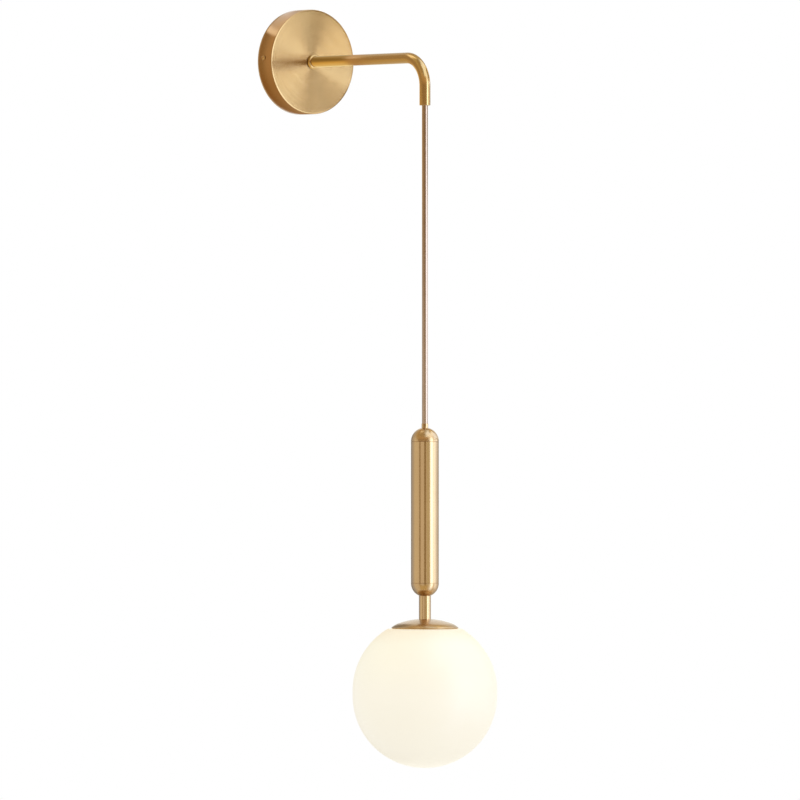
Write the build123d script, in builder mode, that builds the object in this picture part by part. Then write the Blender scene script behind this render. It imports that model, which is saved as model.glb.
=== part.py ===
from build123d import *
import os
from math import acos, degrees, pi, radians, sqrt, tan

# Wall lamp: an opal globe that hangs on a cord from a bent brass arm, in millimetres.
# The wall is the plane y = 0, the arm reaches out along -Y and the globe hangs along -Z.
# The origin is the middle of the wall canopy's back.

# Fits shared by the whole lamp
SLIP_FIT = 0.05
LOOSE_FIT = 0.15
THREAD_FIT = 0.05

# Wall canopy: a turned brass cup, open to the wall
CANOPY_DIAMETER = 110
CANOPY_DEPTH = 23
CANOPY_WALL = 1.5
CANOPY_EDGE_RADIUS = 0.8

# Domed screws through the canopy's side
SIDE_SCREW_FROM_WALL = 10
SIDE_SCREW_LIFT = 3.5
SIDE_SCREW_SHANK = 3
SIDE_SCREW_HEAD = 5.2
SIDE_SCREW_HEAD_HEIGHT = 2.2
SIDE_SCREW_HEAD_EDGE = 0.5
SIDE_SCREW_GRIP = 3
SCREW_SLOT_WIDTH = 0.8
SCREW_SLOT_DEPTH = 0.8

# Bracket: a steel strip with bent ears, and a tongue that carries the terminals
BRACKET_THICKNESS = 1.6
BRACKET_WIDTH = 18
BRACKET_BEND = 1.2
EAR_HEIGHT = 16
EAR_CORNER = 3
EAR_CLEARANCE = 0.4
SLOT_SPACING = 66
SLOT_LENGTH = 12
SLOT_WIDTH = 5
TONGUE_MARGIN = 3
TONGUE_CORNER = 4

# Arm: a bent brass tube with a threaded end, its ring, washer and nut
ARM_DIAMETER = 11.4
ARM_BORE = 7.4
ARM_REACH = 213
ARM_BEND_RADIUS = 30
ARM_DROP = 50
ARM_EDGE = 0.4
ARM_THREAD = 10
THREAD_STANDOUT = 1
COLLAR_DIAMETER = 15
COLLAR_THICKNESS = 4
COLLAR_ROUND = 1.7
WASHER_DIAMETER = 18
WASHER_THICKNESS = 0.8
WASHER_TEETH = 12
WASHER_NOTCH = 2
NUT_SIDES = 6
NUT_ACROSS_FLATS = 14
NUT_THICKNESS = 5
NUT_CHAMFER = 0.6

# Cord, its clamp in the canopy and its bush in the arm's end
CORD_DIAMETER = 6.2
CORD_LENGTH = 330
CORD_ROOT_LENGTH = 40
LOCK_WIDTH = 17
LOCK_HEIGHT = 11
LOCK_THICKNESS = 5
LOCK_CORNER = 2
LOCK_SCREW = 2.5
LOCK_SCREW_HEAD = 3.8
LOCK_SCREW_HEAD_HEIGHT = 1.4
LOCK_SCREW_SPACING = 11.6
BUSH_LENGTH = 8
BUSH_RECESS = 0.5
CORE_DIAMETER = 1.8
CORE_SIDE = 1.5
CORE_RISE = 0.9
CORE_ARC_SHARE = 0.45
EARTH_FALL = 1.7

# Terminal block: three poles, two screws each
BLOCK_WIDTH = 30
BLOCK_HEIGHT = 17
BLOCK_BOTTOM = 13
BLOCK_BASE = 8
BLOCK_CORNER = 1.5
TURRET_DIAMETER = 6.4
TURRET_HEIGHT = 4
POLE_COUNT = 3
POLE_PITCH = 9
SCREW_ROWS = 2
SCREW_ROW_PITCH = 8
SLEEVE_DIAMETER = 4.6
SLEEVE_BORE = 3
SLEEVE_FROM_BRACKET = 3.6
SLEEVE_RECESS = 1
CLAMP_SCREW = 2.8
CLAMP_SCREW_HEAD = 3.8
CLAMP_SCREW_RECESS = 1
CLAMP_SCREW_HEAD_HEIGHT = 2.8
CORE_BITE = 6
BLOCK_SCREW = 3
BLOCK_SCREW_HEAD = 5
BLOCK_SCREW_HEAD_HEIGHT = 1.8

# Earth screw and ring terminal on the bracket
EARTH_SCREW = 4
EARTH_SCREW_HEAD = 7
EARTH_SCREW_HEAD_HEIGHT = 2.4
EARTH_SCREW_X = 18
LUG_DIAMETER = 8.4
LUG_THICKNESS = 0.8
LUG_BARREL = 3.2
LUG_BARREL_LENGTH = 5

# Pendant: a tube between two turned domes, drawn together by a hollow rod
PENDANT_DIAMETER = 29
PENDANT_TUBE_LENGTH = 147
PENDANT_TUBE_WALL = 1.2
PENDANT_SEAM = 0.3
SPIGOT_LENGTH = 7
FERRULE_DIAMETER = 7
FERRULE_STAND = 4.5
FERRULE_EDGE = 0.2
FERRULE_FLANGE = 9.6
FERRULE_FLANGE_THICKNESS = 1.5
FERRULE_SEAT_DEPTH = 3
ROD_DIAMETER = 10
ROD_BORE = 6.8
ROD_GRIP = 9
STEM_DIAMETER = 12.5
STEM_LENGTH = 25.5
STEM_EDGE = 0.3
STEM_SEAT_MARGIN = 0.5

# Globe cap: a flat spun dome with a tighter turn at its rim
CAP_DIAMETER = 68.4
CAP_HEIGHT = 8.6
CAP_DOME_RADIUS = 83
CAP_DOME_REACH = 27
CAP_WALL = 1
CAP_SEAT_MARGIN = 1.2

# Gallery: a pressed cup whose skirt carries the globe's thread
GALLERY_DIAMETER = 50.2
GALLERY_HEIGHT = 14
GALLERY_WALL = 1.2
GALLERY_CORNER = 2

# Globe: blown opal glass with a flat shoulder, its cemented ring and its gasket
GLOBE_DIAMETER = 150
GLOBE_BAND = 5.2
GLOBE_SHOULDER_RISE = 64.3
GLOBE_SHOULDER_ROUND = 3
GLASS_WALL = 3
GLOBE_GAP = 0.4
GLOBE_THREAD_CLEARANCE = 0.3
GLOBE_COLLAR_WALL = 2.4
GLOBE_COLLAR_HEIGHT = 11
GASKET_OVERLAP = 3
GASKET_THICKNESS = 1.5

# Lampholder
HOLDER_DIAMETER = 39
HOLDER_TOP_DIAMETER = 28
HOLDER_TAPER = 9
HOLDER_WALL = 2.2
HOLDER_TOP = 3
HOLDER_BOSS = 17
HOLDER_BOSS_DEPTH = 12
COVER_HEIGHT = 24
SKIRT_HEIGHT = 28
GROOVE_COUNT = 20
GROOVE_WIDTH = 2
GROOVE_DEPTH = 0.7
GROOVE_MARGIN = 3
INSERT_THICKNESS = 8
INSERT_IN_COVER = 2
INSERT_LEDGE = 2
SHELL_DIAMETER = 28.4
SHELL_WALL = 0.6
SHELL_HEIGHT = 20
CONTACT_LENGTH = 18
CONTACT_WIDTH = 7
CONTACT_FOOT = 4.5
CONTACT_FLAT = 4.5
CONTACT_DIP = 3
CONTACT_THICKNESS = 0.6
HOLDER_SCREW = 3
HOLDER_SCREW_HEAD = 4.4
HOLDER_SCREW_HEAD_HEIGHT = 2
HOLDER_SCREW_SPACING = 18
LEAD_STRAIGHT_SHARE = 0.33

# Bulb
BULB_TIP_DIAMETER = 9
BULB_TIP_HEIGHT = 1.5
BULB_INSULATOR_HEIGHT = 2
BULB_CAP_DIAMETER = 26
BULB_CAP_HEIGHT = 19
BULB_CAP_SHOULDER = 2
BULB_CAP_TOP_DIAMETER = 19
BULB_COLLAR_HEIGHT = 15
BULB_COLLAR_TOP = 27.2
BULB_DIAMETER = 45
BULB_NECK = 43.6

os.makedirs("parts", exist_ok=True)


def from_wall(distance):
    """Plane parallel to the wall: its x is +X, its y is +Z and it faces away from the wall."""
    return Plane.XZ.offset(distance)


def level(height):
    """Horizontal plane at a height, centred on the pendant's axis."""
    return Plane((0, -ARM_REACH, height))


def band(inner, outer, bottom, top):
    """Half section of a ring: a rectangle between two radii and two heights."""
    with Locations(((inner + outer) / 2, (bottom + top) / 2)):
        Rectangle(outer - inner, top - bottom)


def export(part, name):
    part.label = name
    export_step(part, f"parts/{name}.step")


def soft_route(points):
    """Route of a core: straight runs with arcs as large as the runs beside each corner allow."""
    corners = [Vector(*point) for point in points]
    radii = []
    for before, here, after in zip(corners, corners[1:], corners[2:]):
        shorter = min((here - before).length, (after - here).length)
        turn = (here - before).get_angle(after - here)
        radii.append(CORE_ARC_SHARE * shorter / tan(radians(turn / 2)))
    return FilletPolyline(*corners, radius=radii, mode=Mode.PRIVATE), radii


# Half section plane and axis of everything that hangs: x is the radius, y is the height
hang_section = Plane((0, -ARM_REACH, 0), x_dir=(1, 0, 0), z_dir=(0, -1, 0))
hang_axis = Axis((0, -ARM_REACH, 0), (0, 0, 1))

# Distances from the wall, inwards from the canopy's face
canopy_radius = CANOPY_DIAMETER / 2
canopy_floor = CANOPY_DEPTH - CANOPY_WALL
washer_face = canopy_floor - WASHER_THICKNESS
nut_face = washer_face - NUT_THICKNESS
thread_end = nut_face - THREAD_STANDOUT
lock_face = thread_end - LOCK_THICKNESS
ear_face = sqrt((canopy_radius - CANOPY_WALL) ** 2 - (BRACKET_WIDTH / 2) ** 2) - EAR_CLEARANCE
block_front = BRACKET_THICKNESS + BLOCK_BASE
turret_front = block_front + TURRET_HEIGHT
sleeve_axis = BRACKET_THICKNESS + SLEEVE_FROM_BRACKET
block_middle = BLOCK_BOTTOM + BLOCK_HEIGHT / 2
block_screw_x = POLE_PITCH / 2
tongue_top = BLOCK_BOTTOM + BLOCK_HEIGHT + TONGUE_MARGIN
tongue_width = BLOCK_WIDTH + 2 * TONGUE_MARGIN
barrel_axis = BRACKET_THICKNESS + LUG_BARREL / 2

# Heights, from the arm's axis down to the globe
arm_end = -ARM_DROP
root_end = arm_end - CORD_ROOT_LENGTH
ferrule_top = arm_end - CORD_LENGTH
pendant_radius = PENDANT_DIAMETER / 2
ferrule_radius = FERRULE_DIAMETER / 2
apex_hole = ferrule_radius + SLIP_FIT
apex = ferrule_top - FERRULE_STAND
top_seam = apex - sqrt(pendant_radius**2 - apex_hole**2)
ferrule_seat = apex - FERRULE_SEAT_DEPTH
rod_top = ferrule_seat - FERRULE_FLANGE_THICKNESS
bottom_seam = top_seam - PENDANT_TUBE_LENGTH
spigot_radius = pendant_radius - PENDANT_TUBE_WALL - SLIP_FIT
rod_hole = ROD_DIAMETER / 2 + THREAD_FIT
stem_seat_radius = STEM_DIAMETER / 2 + STEM_SEAT_MARGIN
stem_top = bottom_seam - sqrt(pendant_radius**2 - stem_seat_radius**2)
cap_seat = stem_top - STEM_LENGTH
cap_seat_radius = STEM_DIAMETER / 2 + CAP_SEAT_MARGIN
cap_rim = cap_seat - CAP_HEIGHT
cap_nut_top = cap_seat - CAP_WALL
gallery_top = cap_nut_top - NUT_THICKNESS
holder_top = gallery_top - GALLERY_WALL
rod_bottom = holder_top - ROD_GRIP
cover_bottom = holder_top - COVER_HEIGHT
insert_top = cover_bottom + INSERT_IN_COVER
insert_bottom = insert_top - INSERT_THICKNESS
skirt_bottom = cover_bottom - SKIRT_HEIGHT
contact_bottom = insert_bottom - CONTACT_DIP - CONTACT_THICKNESS
tip_bottom = contact_bottom - BULB_TIP_HEIGHT
bulb_cap_top = tip_bottom - BULB_INSULATOR_HEIGHT
bulb_cap_bottom = bulb_cap_top - BULB_CAP_HEIGHT
bulb_collar_bottom = bulb_cap_bottom - BULB_COLLAR_HEIGHT
shoulder = cap_rim - GLOBE_GAP
globe_high = shoulder - GLOBE_SHOULDER_RISE
globe_low = globe_high - GLOBE_BAND
collar_bore = GALLERY_DIAMETER / 2 + GLOBE_THREAD_CLEARANCE
collar_radius = collar_bore + GLOBE_COLLAR_WALL
mouth_radius = collar_radius + SLIP_FIT


# Wall bracket: flat strip, ears bent forward at both ends, tongue above for the terminals
with BuildPart() as wall_bracket:
    with BuildSketch(Plane.XY.offset(-BRACKET_WIDTH / 2)) as strip:
        with Locations((0, -EAR_HEIGHT / 2)):
            Rectangle(2 * ear_face, EAR_HEIGHT)
        fillet(strip.vertices().group_by(Axis.Y)[-1], BRACKET_BEND + BRACKET_THICKNESS)
        with Locations((0, -(EAR_HEIGHT + BRACKET_THICKNESS) / 2)):
            Rectangle(
                2 * (ear_face - BRACKET_THICKNESS),
                EAR_HEIGHT - BRACKET_THICKNESS,
                mode=Mode.SUBTRACT,
            )
        inner_corners = strip.vertices().filter_by_position(
            Axis.Y, -BRACKET_THICKNESS - SLIP_FIT, -BRACKET_THICKNESS + SLIP_FIT
        )
        fillet(inner_corners.filter_by(lambda corner: abs(corner.X) < ear_face - SLIP_FIT), BRACKET_BEND)
    extrude(amount=BRACKET_WIDTH)
    fillet(wall_bracket.edges().filter_by(Axis.X).group_by(Axis.Y)[0], EAR_CORNER)
    with BuildSketch(Plane.XZ):
        with Locations((0, tongue_top / 2)):
            Rectangle(tongue_width, tongue_top)
    extrude(amount=BRACKET_THICKNESS)
    fillet(wall_bracket.edges().filter_by(Axis.Y).group_by(Axis.Z)[-1], TONGUE_CORNER)
    with BuildSketch(Plane.XZ):
        with Locations((-SLOT_SPACING / 2, 0), (SLOT_SPACING / 2, 0)):
            SlotOverall(SLOT_LENGTH, SLOT_WIDTH)
        with Locations((EARTH_SCREW_X, -EARTH_FALL)):
            Circle(EARTH_SCREW / 2 + THREAD_FIT)
        with Locations((block_screw_x, block_middle)):
            Circle(BLOCK_SCREW / 2 + THREAD_FIT)
    extrude(amount=BRACKET_THICKNESS, mode=Mode.SUBTRACT)
    with BuildSketch(Plane.YZ):
        with Locations((-SIDE_SCREW_FROM_WALL, SIDE_SCREW_LIFT)):
            Circle(SIDE_SCREW_SHANK / 2 + THREAD_FIT)
    extrude(amount=canopy_radius, both=True, mode=Mode.SUBTRACT)
export(wall_bracket.part, "wall_bracket")

# Canopy: cup turned from one piece, with a hole for the arm and two for the side screws
with BuildPart() as canopy:
    with BuildSketch(Plane.XY):
        with BuildLine():
            Polyline(
                (0, -CANOPY_DEPTH),
                (canopy_radius, -CANOPY_DEPTH),
                (canopy_radius, 0),
                (canopy_radius - CANOPY_WALL, 0),
                (canopy_radius - CANOPY_WALL, -canopy_floor),
                (0, -canopy_floor),
                close=True,
            )
        make_face()
    revolve(axis=Axis.Y)
    fillet(canopy.edges().filter_by(GeomType.CIRCLE).group_by(Axis.Y)[0], CANOPY_EDGE_RADIUS)
    with BuildSketch(from_wall(canopy_floor)):
        Circle(ARM_THREAD / 2 + LOOSE_FIT)
    extrude(amount=CANOPY_WALL, mode=Mode.SUBTRACT)
    with BuildSketch(Plane.YZ):
        with Locations((-SIDE_SCREW_FROM_WALL, SIDE_SCREW_LIFT)):
            Circle(SIDE_SCREW_SHANK / 2 + LOOSE_FIT)
    extrude(amount=CANOPY_DIAMETER, both=True, mode=Mode.SUBTRACT)
export(canopy.part, "canopy")

# Side screws: slotted domed heads, threaded into the bracket's ears
side_screw_end = ear_face - BRACKET_THICKNESS - SIDE_SCREW_GRIP
with BuildPart() as canopy_screws:
    with BuildSketch(Plane((0, -SIDE_SCREW_FROM_WALL, SIDE_SCREW_LIFT))):
        with BuildLine():
            seat = canopy_radius + SLIP_FIT
            crown = seat + SIDE_SCREW_HEAD_HEIGHT
            edge = (seat + SIDE_SCREW_HEAD_EDGE, SIDE_SCREW_HEAD / 2)
            Polyline((crown, 0), (side_screw_end, 0), (side_screw_end, SIDE_SCREW_SHANK / 2))
            Polyline((side_screw_end, SIDE_SCREW_SHANK / 2), (seat, SIDE_SCREW_SHANK / 2))
            Polyline((seat, SIDE_SCREW_SHANK / 2), (seat, SIDE_SCREW_HEAD / 2), edge)
            TangentArc((crown, 0), edge, tangent=(0, 1))
        make_face()
    revolve(axis=Axis((0, -SIDE_SCREW_FROM_WALL, SIDE_SCREW_LIFT), (1, 0, 0)))
    with BuildSketch(Plane.YZ.offset(crown - SCREW_SLOT_DEPTH)):
        with Locations((-SIDE_SCREW_FROM_WALL, SIDE_SCREW_LIFT)):
            Rectangle(SIDE_SCREW_HEAD, SCREW_SLOT_WIDTH)
    extrude(amount=SCREW_SLOT_DEPTH, mode=Mode.SUBTRACT)
    mirror(about=Plane.YZ)
export(canopy_screws.part, "canopy_screws")

# Arm: one tube, bent down at its end and turned down to a thread where it enters the canopy
with BuildLine() as arm_route:
    FilletPolyline(
        (0, -CANOPY_DEPTH, 0),
        (0, -ARM_REACH, 0),
        (0, -ARM_REACH, arm_end),
        radius=ARM_BEND_RADIUS,
    )
with BuildLine() as bore_route:
    FilletPolyline(
        (0, -thread_end, 0),
        (0, -ARM_REACH, 0),
        (0, -ARM_REACH, arm_end),
        radius=ARM_BEND_RADIUS,
    )
with BuildPart() as arm_tube:
    with BuildSketch(from_wall(CANOPY_DEPTH)):
        Circle(ARM_DIAMETER / 2)
    sweep(path=arm_route.wires()[0])
    with BuildSketch(from_wall(thread_end)):
        Circle(ARM_THREAD / 2)
    extrude(amount=CANOPY_DEPTH - thread_end)
    chamfer(arm_tube.edges().group_by(Axis.Z)[0], ARM_EDGE)
    with BuildSketch(from_wall(thread_end)):
        Circle(ARM_BORE / 2)
    sweep(path=bore_route.wires()[0], mode=Mode.SUBTRACT)
export(arm_tube.part, "arm_tube")

# Arm collar: rounded ring on the canopy's face
with BuildPart() as arm_collar:
    with BuildSketch(Plane.XY) as ring_section:
        band(
            ARM_DIAMETER / 2 + SLIP_FIT,
            COLLAR_DIAMETER / 2,
            -CANOPY_DEPTH - COLLAR_THICKNESS,
            -CANOPY_DEPTH,
        )
        fillet(ring_section.vertices().group_by(Axis.X)[-1], COLLAR_ROUND)
    revolve(axis=Axis.Y)
export(arm_collar.part, "arm_collar")

# Lock washer with outer teeth, and nut, on the arm's thread inside the canopy
with BuildPart() as arm_washer:
    with BuildSketch(from_wall(washer_face)):
        Circle(WASHER_DIAMETER / 2)
        with PolarLocations(WASHER_DIAMETER / 2, WASHER_TEETH):
            Rectangle(WASHER_NOTCH, WASHER_NOTCH, mode=Mode.SUBTRACT)
        Circle(ARM_THREAD / 2 + LOOSE_FIT, mode=Mode.SUBTRACT)
    extrude(amount=WASHER_THICKNESS)
export(arm_washer.part, "arm_washer")

with BuildPart() as arm_nut:
    with BuildSketch(from_wall(nut_face)):
        RegularPolygon(NUT_ACROSS_FLATS / 2, NUT_SIDES, major_radius=False)
        Circle(ARM_THREAD / 2 + THREAD_FIT, mode=Mode.SUBTRACT)
    extrude(amount=NUT_THICKNESS)
    chamfer(arm_nut.faces().sort_by(Axis.Y)[-1].outer_wire().edges(), NUT_CHAMFER)
export(arm_nut.part, "arm_nut")

# Cord clamp on the end of the arm's thread, which takes the pendant's weight
lock_screw_places = [(-LOCK_SCREW_SPACING / 2, 0), (LOCK_SCREW_SPACING / 2, 0)]
with BuildPart() as cord_lock:
    with BuildSketch(from_wall(lock_face)):
        RectangleRounded(LOCK_WIDTH, LOCK_HEIGHT, LOCK_CORNER)
        Circle(CORD_DIAMETER / 2 + SLIP_FIT, mode=Mode.SUBTRACT)
        with Locations(*lock_screw_places):
            Circle(LOCK_SCREW / 2 + THREAD_FIT, mode=Mode.SUBTRACT)
    extrude(amount=LOCK_THICKNESS)
export(cord_lock.part, "cord_lock")

with BuildPart() as cord_lock_screws:
    with BuildSketch(from_wall(lock_face)):
        with Locations(*lock_screw_places):
            Circle(LOCK_SCREW / 2)
    extrude(amount=LOCK_THICKNESS)
    with BuildSketch(from_wall(lock_face)):
        with Locations(*lock_screw_places):
            Circle(LOCK_SCREW_HEAD / 2)
    extrude(amount=-LOCK_SCREW_HEAD_HEIGHT)
    with BuildSketch(from_wall(lock_face - LOCK_SCREW_HEAD_HEIGHT)):
        with Locations(*lock_screw_places):
            Rectangle(LOCK_SCREW_HEAD, SCREW_SLOT_WIDTH)
    extrude(amount=SCREW_SLOT_DEPTH, mode=Mode.SUBTRACT)
export(cord_lock_screws.part, "cord_lock_screws")

# Terminal block: moulded base with a turret over each screw and a bore along each pole
with BuildPart() as terminal_block:
    with BuildSketch(from_wall(BRACKET_THICKNESS)):
        with Locations((0, block_middle)):
            RectangleRounded(BLOCK_WIDTH, BLOCK_HEIGHT, BLOCK_CORNER)
    extrude(amount=BLOCK_BASE)
    with BuildSketch(from_wall(block_front)):
        with Locations((0, block_middle)):
            with GridLocations(POLE_PITCH, SCREW_ROW_PITCH, POLE_COUNT, SCREW_ROWS):
                Circle(TURRET_DIAMETER / 2)
    extrude(amount=TURRET_HEIGHT)
    with BuildSketch(from_wall(sleeve_axis)):
        with Locations((0, block_middle)):
            with GridLocations(POLE_PITCH, SCREW_ROW_PITCH, POLE_COUNT, SCREW_ROWS):
                Circle(CLAMP_SCREW_HEAD / 2 + LOOSE_FIT)
    extrude(amount=turret_front - sleeve_axis, mode=Mode.SUBTRACT)
    with BuildSketch(Plane.XY.offset(BLOCK_BOTTOM)):
        with Locations((0, -sleeve_axis)):
            with GridLocations(POLE_PITCH, POLE_PITCH, POLE_COUNT, 1):
                Circle(SLEEVE_DIAMETER / 2 + SLIP_FIT)
    extrude(amount=BLOCK_HEIGHT, mode=Mode.SUBTRACT)
    with BuildSketch(from_wall(BRACKET_THICKNESS)):
        with Locations((block_screw_x, block_middle)):
            Circle(BLOCK_SCREW / 2 + LOOSE_FIT)
    extrude(amount=BLOCK_BASE, mode=Mode.SUBTRACT)
export(terminal_block.part, "terminal_block")

sleeve_bottom = BLOCK_BOTTOM + SLEEVE_RECESS
with BuildPart() as terminal_sleeves:
    with BuildSketch(Plane.XY.offset(sleeve_bottom)):
        with Locations((0, -sleeve_axis)):
            with GridLocations(POLE_PITCH, POLE_PITCH, POLE_COUNT, 1):
                Circle(SLEEVE_DIAMETER / 2)
                Circle(SLEEVE_BORE / 2, mode=Mode.SUBTRACT)
    extrude(amount=BLOCK_HEIGHT - 2 * SLEEVE_RECESS)
    with BuildSketch(from_wall(sleeve_axis)):
        with Locations((0, block_middle)):
            with GridLocations(POLE_PITCH, SCREW_ROW_PITCH, POLE_COUNT, SCREW_ROWS):
                Circle(CLAMP_SCREW / 2 + THREAD_FIT)
    extrude(amount=SLEEVE_DIAMETER, mode=Mode.SUBTRACT)
export(terminal_sleeves.part, "terminal_sleeves")

clamp_screw_end = sleeve_axis + CORE_DIAMETER / 2 + SLIP_FIT
clamp_screw_face = turret_front - CLAMP_SCREW_RECESS
with BuildPart() as terminal_screws:
    with BuildSketch(from_wall(clamp_screw_end)):
        with Locations((0, block_middle)):
            with GridLocations(POLE_PITCH, SCREW_ROW_PITCH, POLE_COUNT, SCREW_ROWS):
                Circle(CLAMP_SCREW / 2)
    extrude(amount=clamp_screw_face - clamp_screw_end)
    with BuildSketch(from_wall(clamp_screw_face - CLAMP_SCREW_HEAD_HEIGHT)):
        with Locations((0, block_middle)):
            with GridLocations(POLE_PITCH, SCREW_ROW_PITCH, POLE_COUNT, SCREW_ROWS):
                Circle(CLAMP_SCREW_HEAD / 2)
    extrude(amount=CLAMP_SCREW_HEAD_HEIGHT)
    with BuildSketch(from_wall(clamp_screw_face - SCREW_SLOT_DEPTH)):
        with Locations((0, block_middle)):
            with GridLocations(POLE_PITCH, SCREW_ROW_PITCH, POLE_COUNT, SCREW_ROWS):
                Rectangle(CLAMP_SCREW_HEAD, SCREW_SLOT_WIDTH)
    extrude(amount=SCREW_SLOT_DEPTH, mode=Mode.SUBTRACT)
export(terminal_screws.part, "terminal_screws")

with BuildPart() as block_screw:
    with BuildSketch(Plane.XZ):
        with Locations((block_screw_x, block_middle)):
            Circle(BLOCK_SCREW / 2)
    extrude(amount=block_front)
    with BuildSketch(from_wall(block_front)):
        with Locations((block_screw_x, block_middle)):
            Circle(BLOCK_SCREW_HEAD / 2)
    extrude(amount=BLOCK_SCREW_HEAD_HEIGHT)
    with BuildSketch(from_wall(block_front + BLOCK_SCREW_HEAD_HEIGHT - SCREW_SLOT_DEPTH)):
        with Locations((block_screw_x, block_middle)):
            Rectangle(BLOCK_SCREW_HEAD, SCREW_SLOT_WIDTH)
    extrude(amount=SCREW_SLOT_DEPTH, mode=Mode.SUBTRACT)
export(block_screw.part, "block_screw")

# Earth: ring terminal with a crimped barrel, under a screw in the bracket
lug_front = BRACKET_THICKNESS + LUG_THICKNESS
barrel_end = EARTH_SCREW_X - LUG_DIAMETER / 2
barrel_start = barrel_end - LUG_BARREL_LENGTH
with BuildPart() as earth_lug:
    with BuildSketch(from_wall(BRACKET_THICKNESS)):
        with Locations((EARTH_SCREW_X, -EARTH_FALL)):
            Circle(LUG_DIAMETER / 2)
        with Locations(((barrel_end + EARTH_SCREW_X) / 2, -EARTH_FALL)):
            Rectangle(EARTH_SCREW_X - barrel_end, LUG_BARREL)
        with Locations((EARTH_SCREW_X, -EARTH_FALL)):
            Circle(EARTH_SCREW / 2 + LOOSE_FIT, mode=Mode.SUBTRACT)
    extrude(amount=LUG_THICKNESS)
    with BuildSketch(Plane.YZ.offset(barrel_start)):
        with Locations((-barrel_axis, -EARTH_FALL)):
            Circle(LUG_BARREL / 2)
    extrude(amount=barrel_end - barrel_start)
    with BuildSketch(Plane.YZ.offset(barrel_start)):
        with Locations((-barrel_axis, -EARTH_FALL)):
            Circle(CORE_DIAMETER / 2 + SLIP_FIT)
    extrude(amount=barrel_end - barrel_start, mode=Mode.SUBTRACT)
export(earth_lug.part, "earth_lug")

with BuildPart() as earth_screw:
    with BuildSketch(Plane.XZ):
        with Locations((EARTH_SCREW_X, -EARTH_FALL)):
            Circle(EARTH_SCREW / 2)
    extrude(amount=lug_front)
    with BuildSketch(from_wall(lug_front)):
        with Locations((EARTH_SCREW_X, -EARTH_FALL)):
            Circle(EARTH_SCREW_HEAD / 2)
    extrude(amount=EARTH_SCREW_HEAD_HEIGHT)
    with BuildSketch(from_wall(lug_front + EARTH_SCREW_HEAD_HEIGHT - SCREW_SLOT_DEPTH)):
        with Locations((EARTH_SCREW_X, -EARTH_FALL)):
            Rectangle(EARTH_SCREW_HEAD, SCREW_SLOT_WIDTH)
    extrude(amount=SCREW_SLOT_DEPTH, mode=Mode.SUBTRACT)
export(earth_screw.part, "earth_screw")

# Cores: from the cord's end up into the terminal block, and across to the ring terminal
for core_name, side in (("live_core", -1), ("neutral_core", 1)):
    core_path, core_radii = soft_route(
        [
            (side * CORE_SIDE, -lock_face, CORE_RISE),
            (side * CORE_SIDE, -sleeve_axis, CORE_RISE),
            (side * POLE_PITCH, -sleeve_axis, BLOCK_BOTTOM - CORE_BITE / 2),
            (side * POLE_PITCH, -sleeve_axis, BLOCK_BOTTOM + CORE_BITE),
        ]
    )
    print(core_name, "arc radii", [round(radius, 2) for radius in core_radii])
    with BuildPart() as core:
        with BuildSketch(from_wall(lock_face)):
            with Locations((side * CORE_SIDE, CORE_RISE)):
                Circle(CORE_DIAMETER / 2)
        sweep(path=core_path)
    export(core.part, core_name)

earth_path, earth_radii = soft_route(
    [
        (0, -lock_face, -EARTH_FALL),
        (0, -barrel_axis, -EARTH_FALL),
        (barrel_end, -barrel_axis, -EARTH_FALL),
    ]
)
print("earth_core arc radii", [round(radius, 2) for radius in earth_radii])
with BuildPart() as earth_core:
    with BuildSketch(from_wall(lock_face)):
        with Locations((0, -EARTH_FALL)):
            Circle(CORE_DIAMETER / 2)
    sweep(path=earth_path)
export(earth_core.part, "earth_core")

# Cord inside the arm, from its clamp to the arm's open end
with BuildLine() as arm_cord_route:
    FilletPolyline(
        (0, -lock_face, 0),
        (0, -ARM_REACH, 0),
        (0, -ARM_REACH, arm_end),
        radius=ARM_BEND_RADIUS,
    )
with BuildPart() as arm_cord:
    with BuildSketch(from_wall(lock_face)):
        Circle(CORD_DIAMETER / 2)
    sweep(path=arm_cord_route.wires()[0])
export(arm_cord.part, "arm_cord")

# Bush in the arm's open end
bush_bottom = arm_end + BUSH_RECESS
with BuildPart() as arm_bush:
    with BuildSketch(hang_section):
        band(
            CORD_DIAMETER / 2 + SLIP_FIT,
            ARM_BORE / 2 - SLIP_FIT,
            bush_bottom,
            bush_bottom + BUSH_LENGTH,
        )
    revolve(axis=hang_axis)
export(arm_bush.part, "arm_bush")

# Free cord, straight under the pendant's weight: the stretch that bends, then the drop
for cord_name, upper, lower in (
    ("cord_root", arm_end, root_end),
    ("cord_drop", root_end, ferrule_top),
):
    with BuildPart() as cord:
        with BuildSketch(level(lower)):
            Circle(CORD_DIAMETER / 2)
        extrude(amount=upper - lower)
    tube = pi * (CORD_DIAMETER / 2) ** 2 * (upper - lower)
    print(cord_name, "volume over section times length", round(cord.part.volume / tube, 6))
    export(cord.part, cord_name)

# Ferrule: crimped on the cord, its flange is held up against the top dome by the rod
with BuildPart() as cord_ferrule:
    with BuildSketch(hang_section) as ferrule_section:
        band(CORD_DIAMETER / 2 + SLIP_FIT, ferrule_radius, ferrule_seat, ferrule_top)
        chamfer(ferrule_section.vertices().group_by(Axis.Y)[-1].sort_by(Axis.X)[-1], FERRULE_EDGE)
        band(CORD_DIAMETER / 2 + SLIP_FIT, FERRULE_FLANGE / 2, rod_top, ferrule_seat)
    revolve(axis=hang_axis)
export(cord_ferrule.part, "cord_ferrule")

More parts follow.
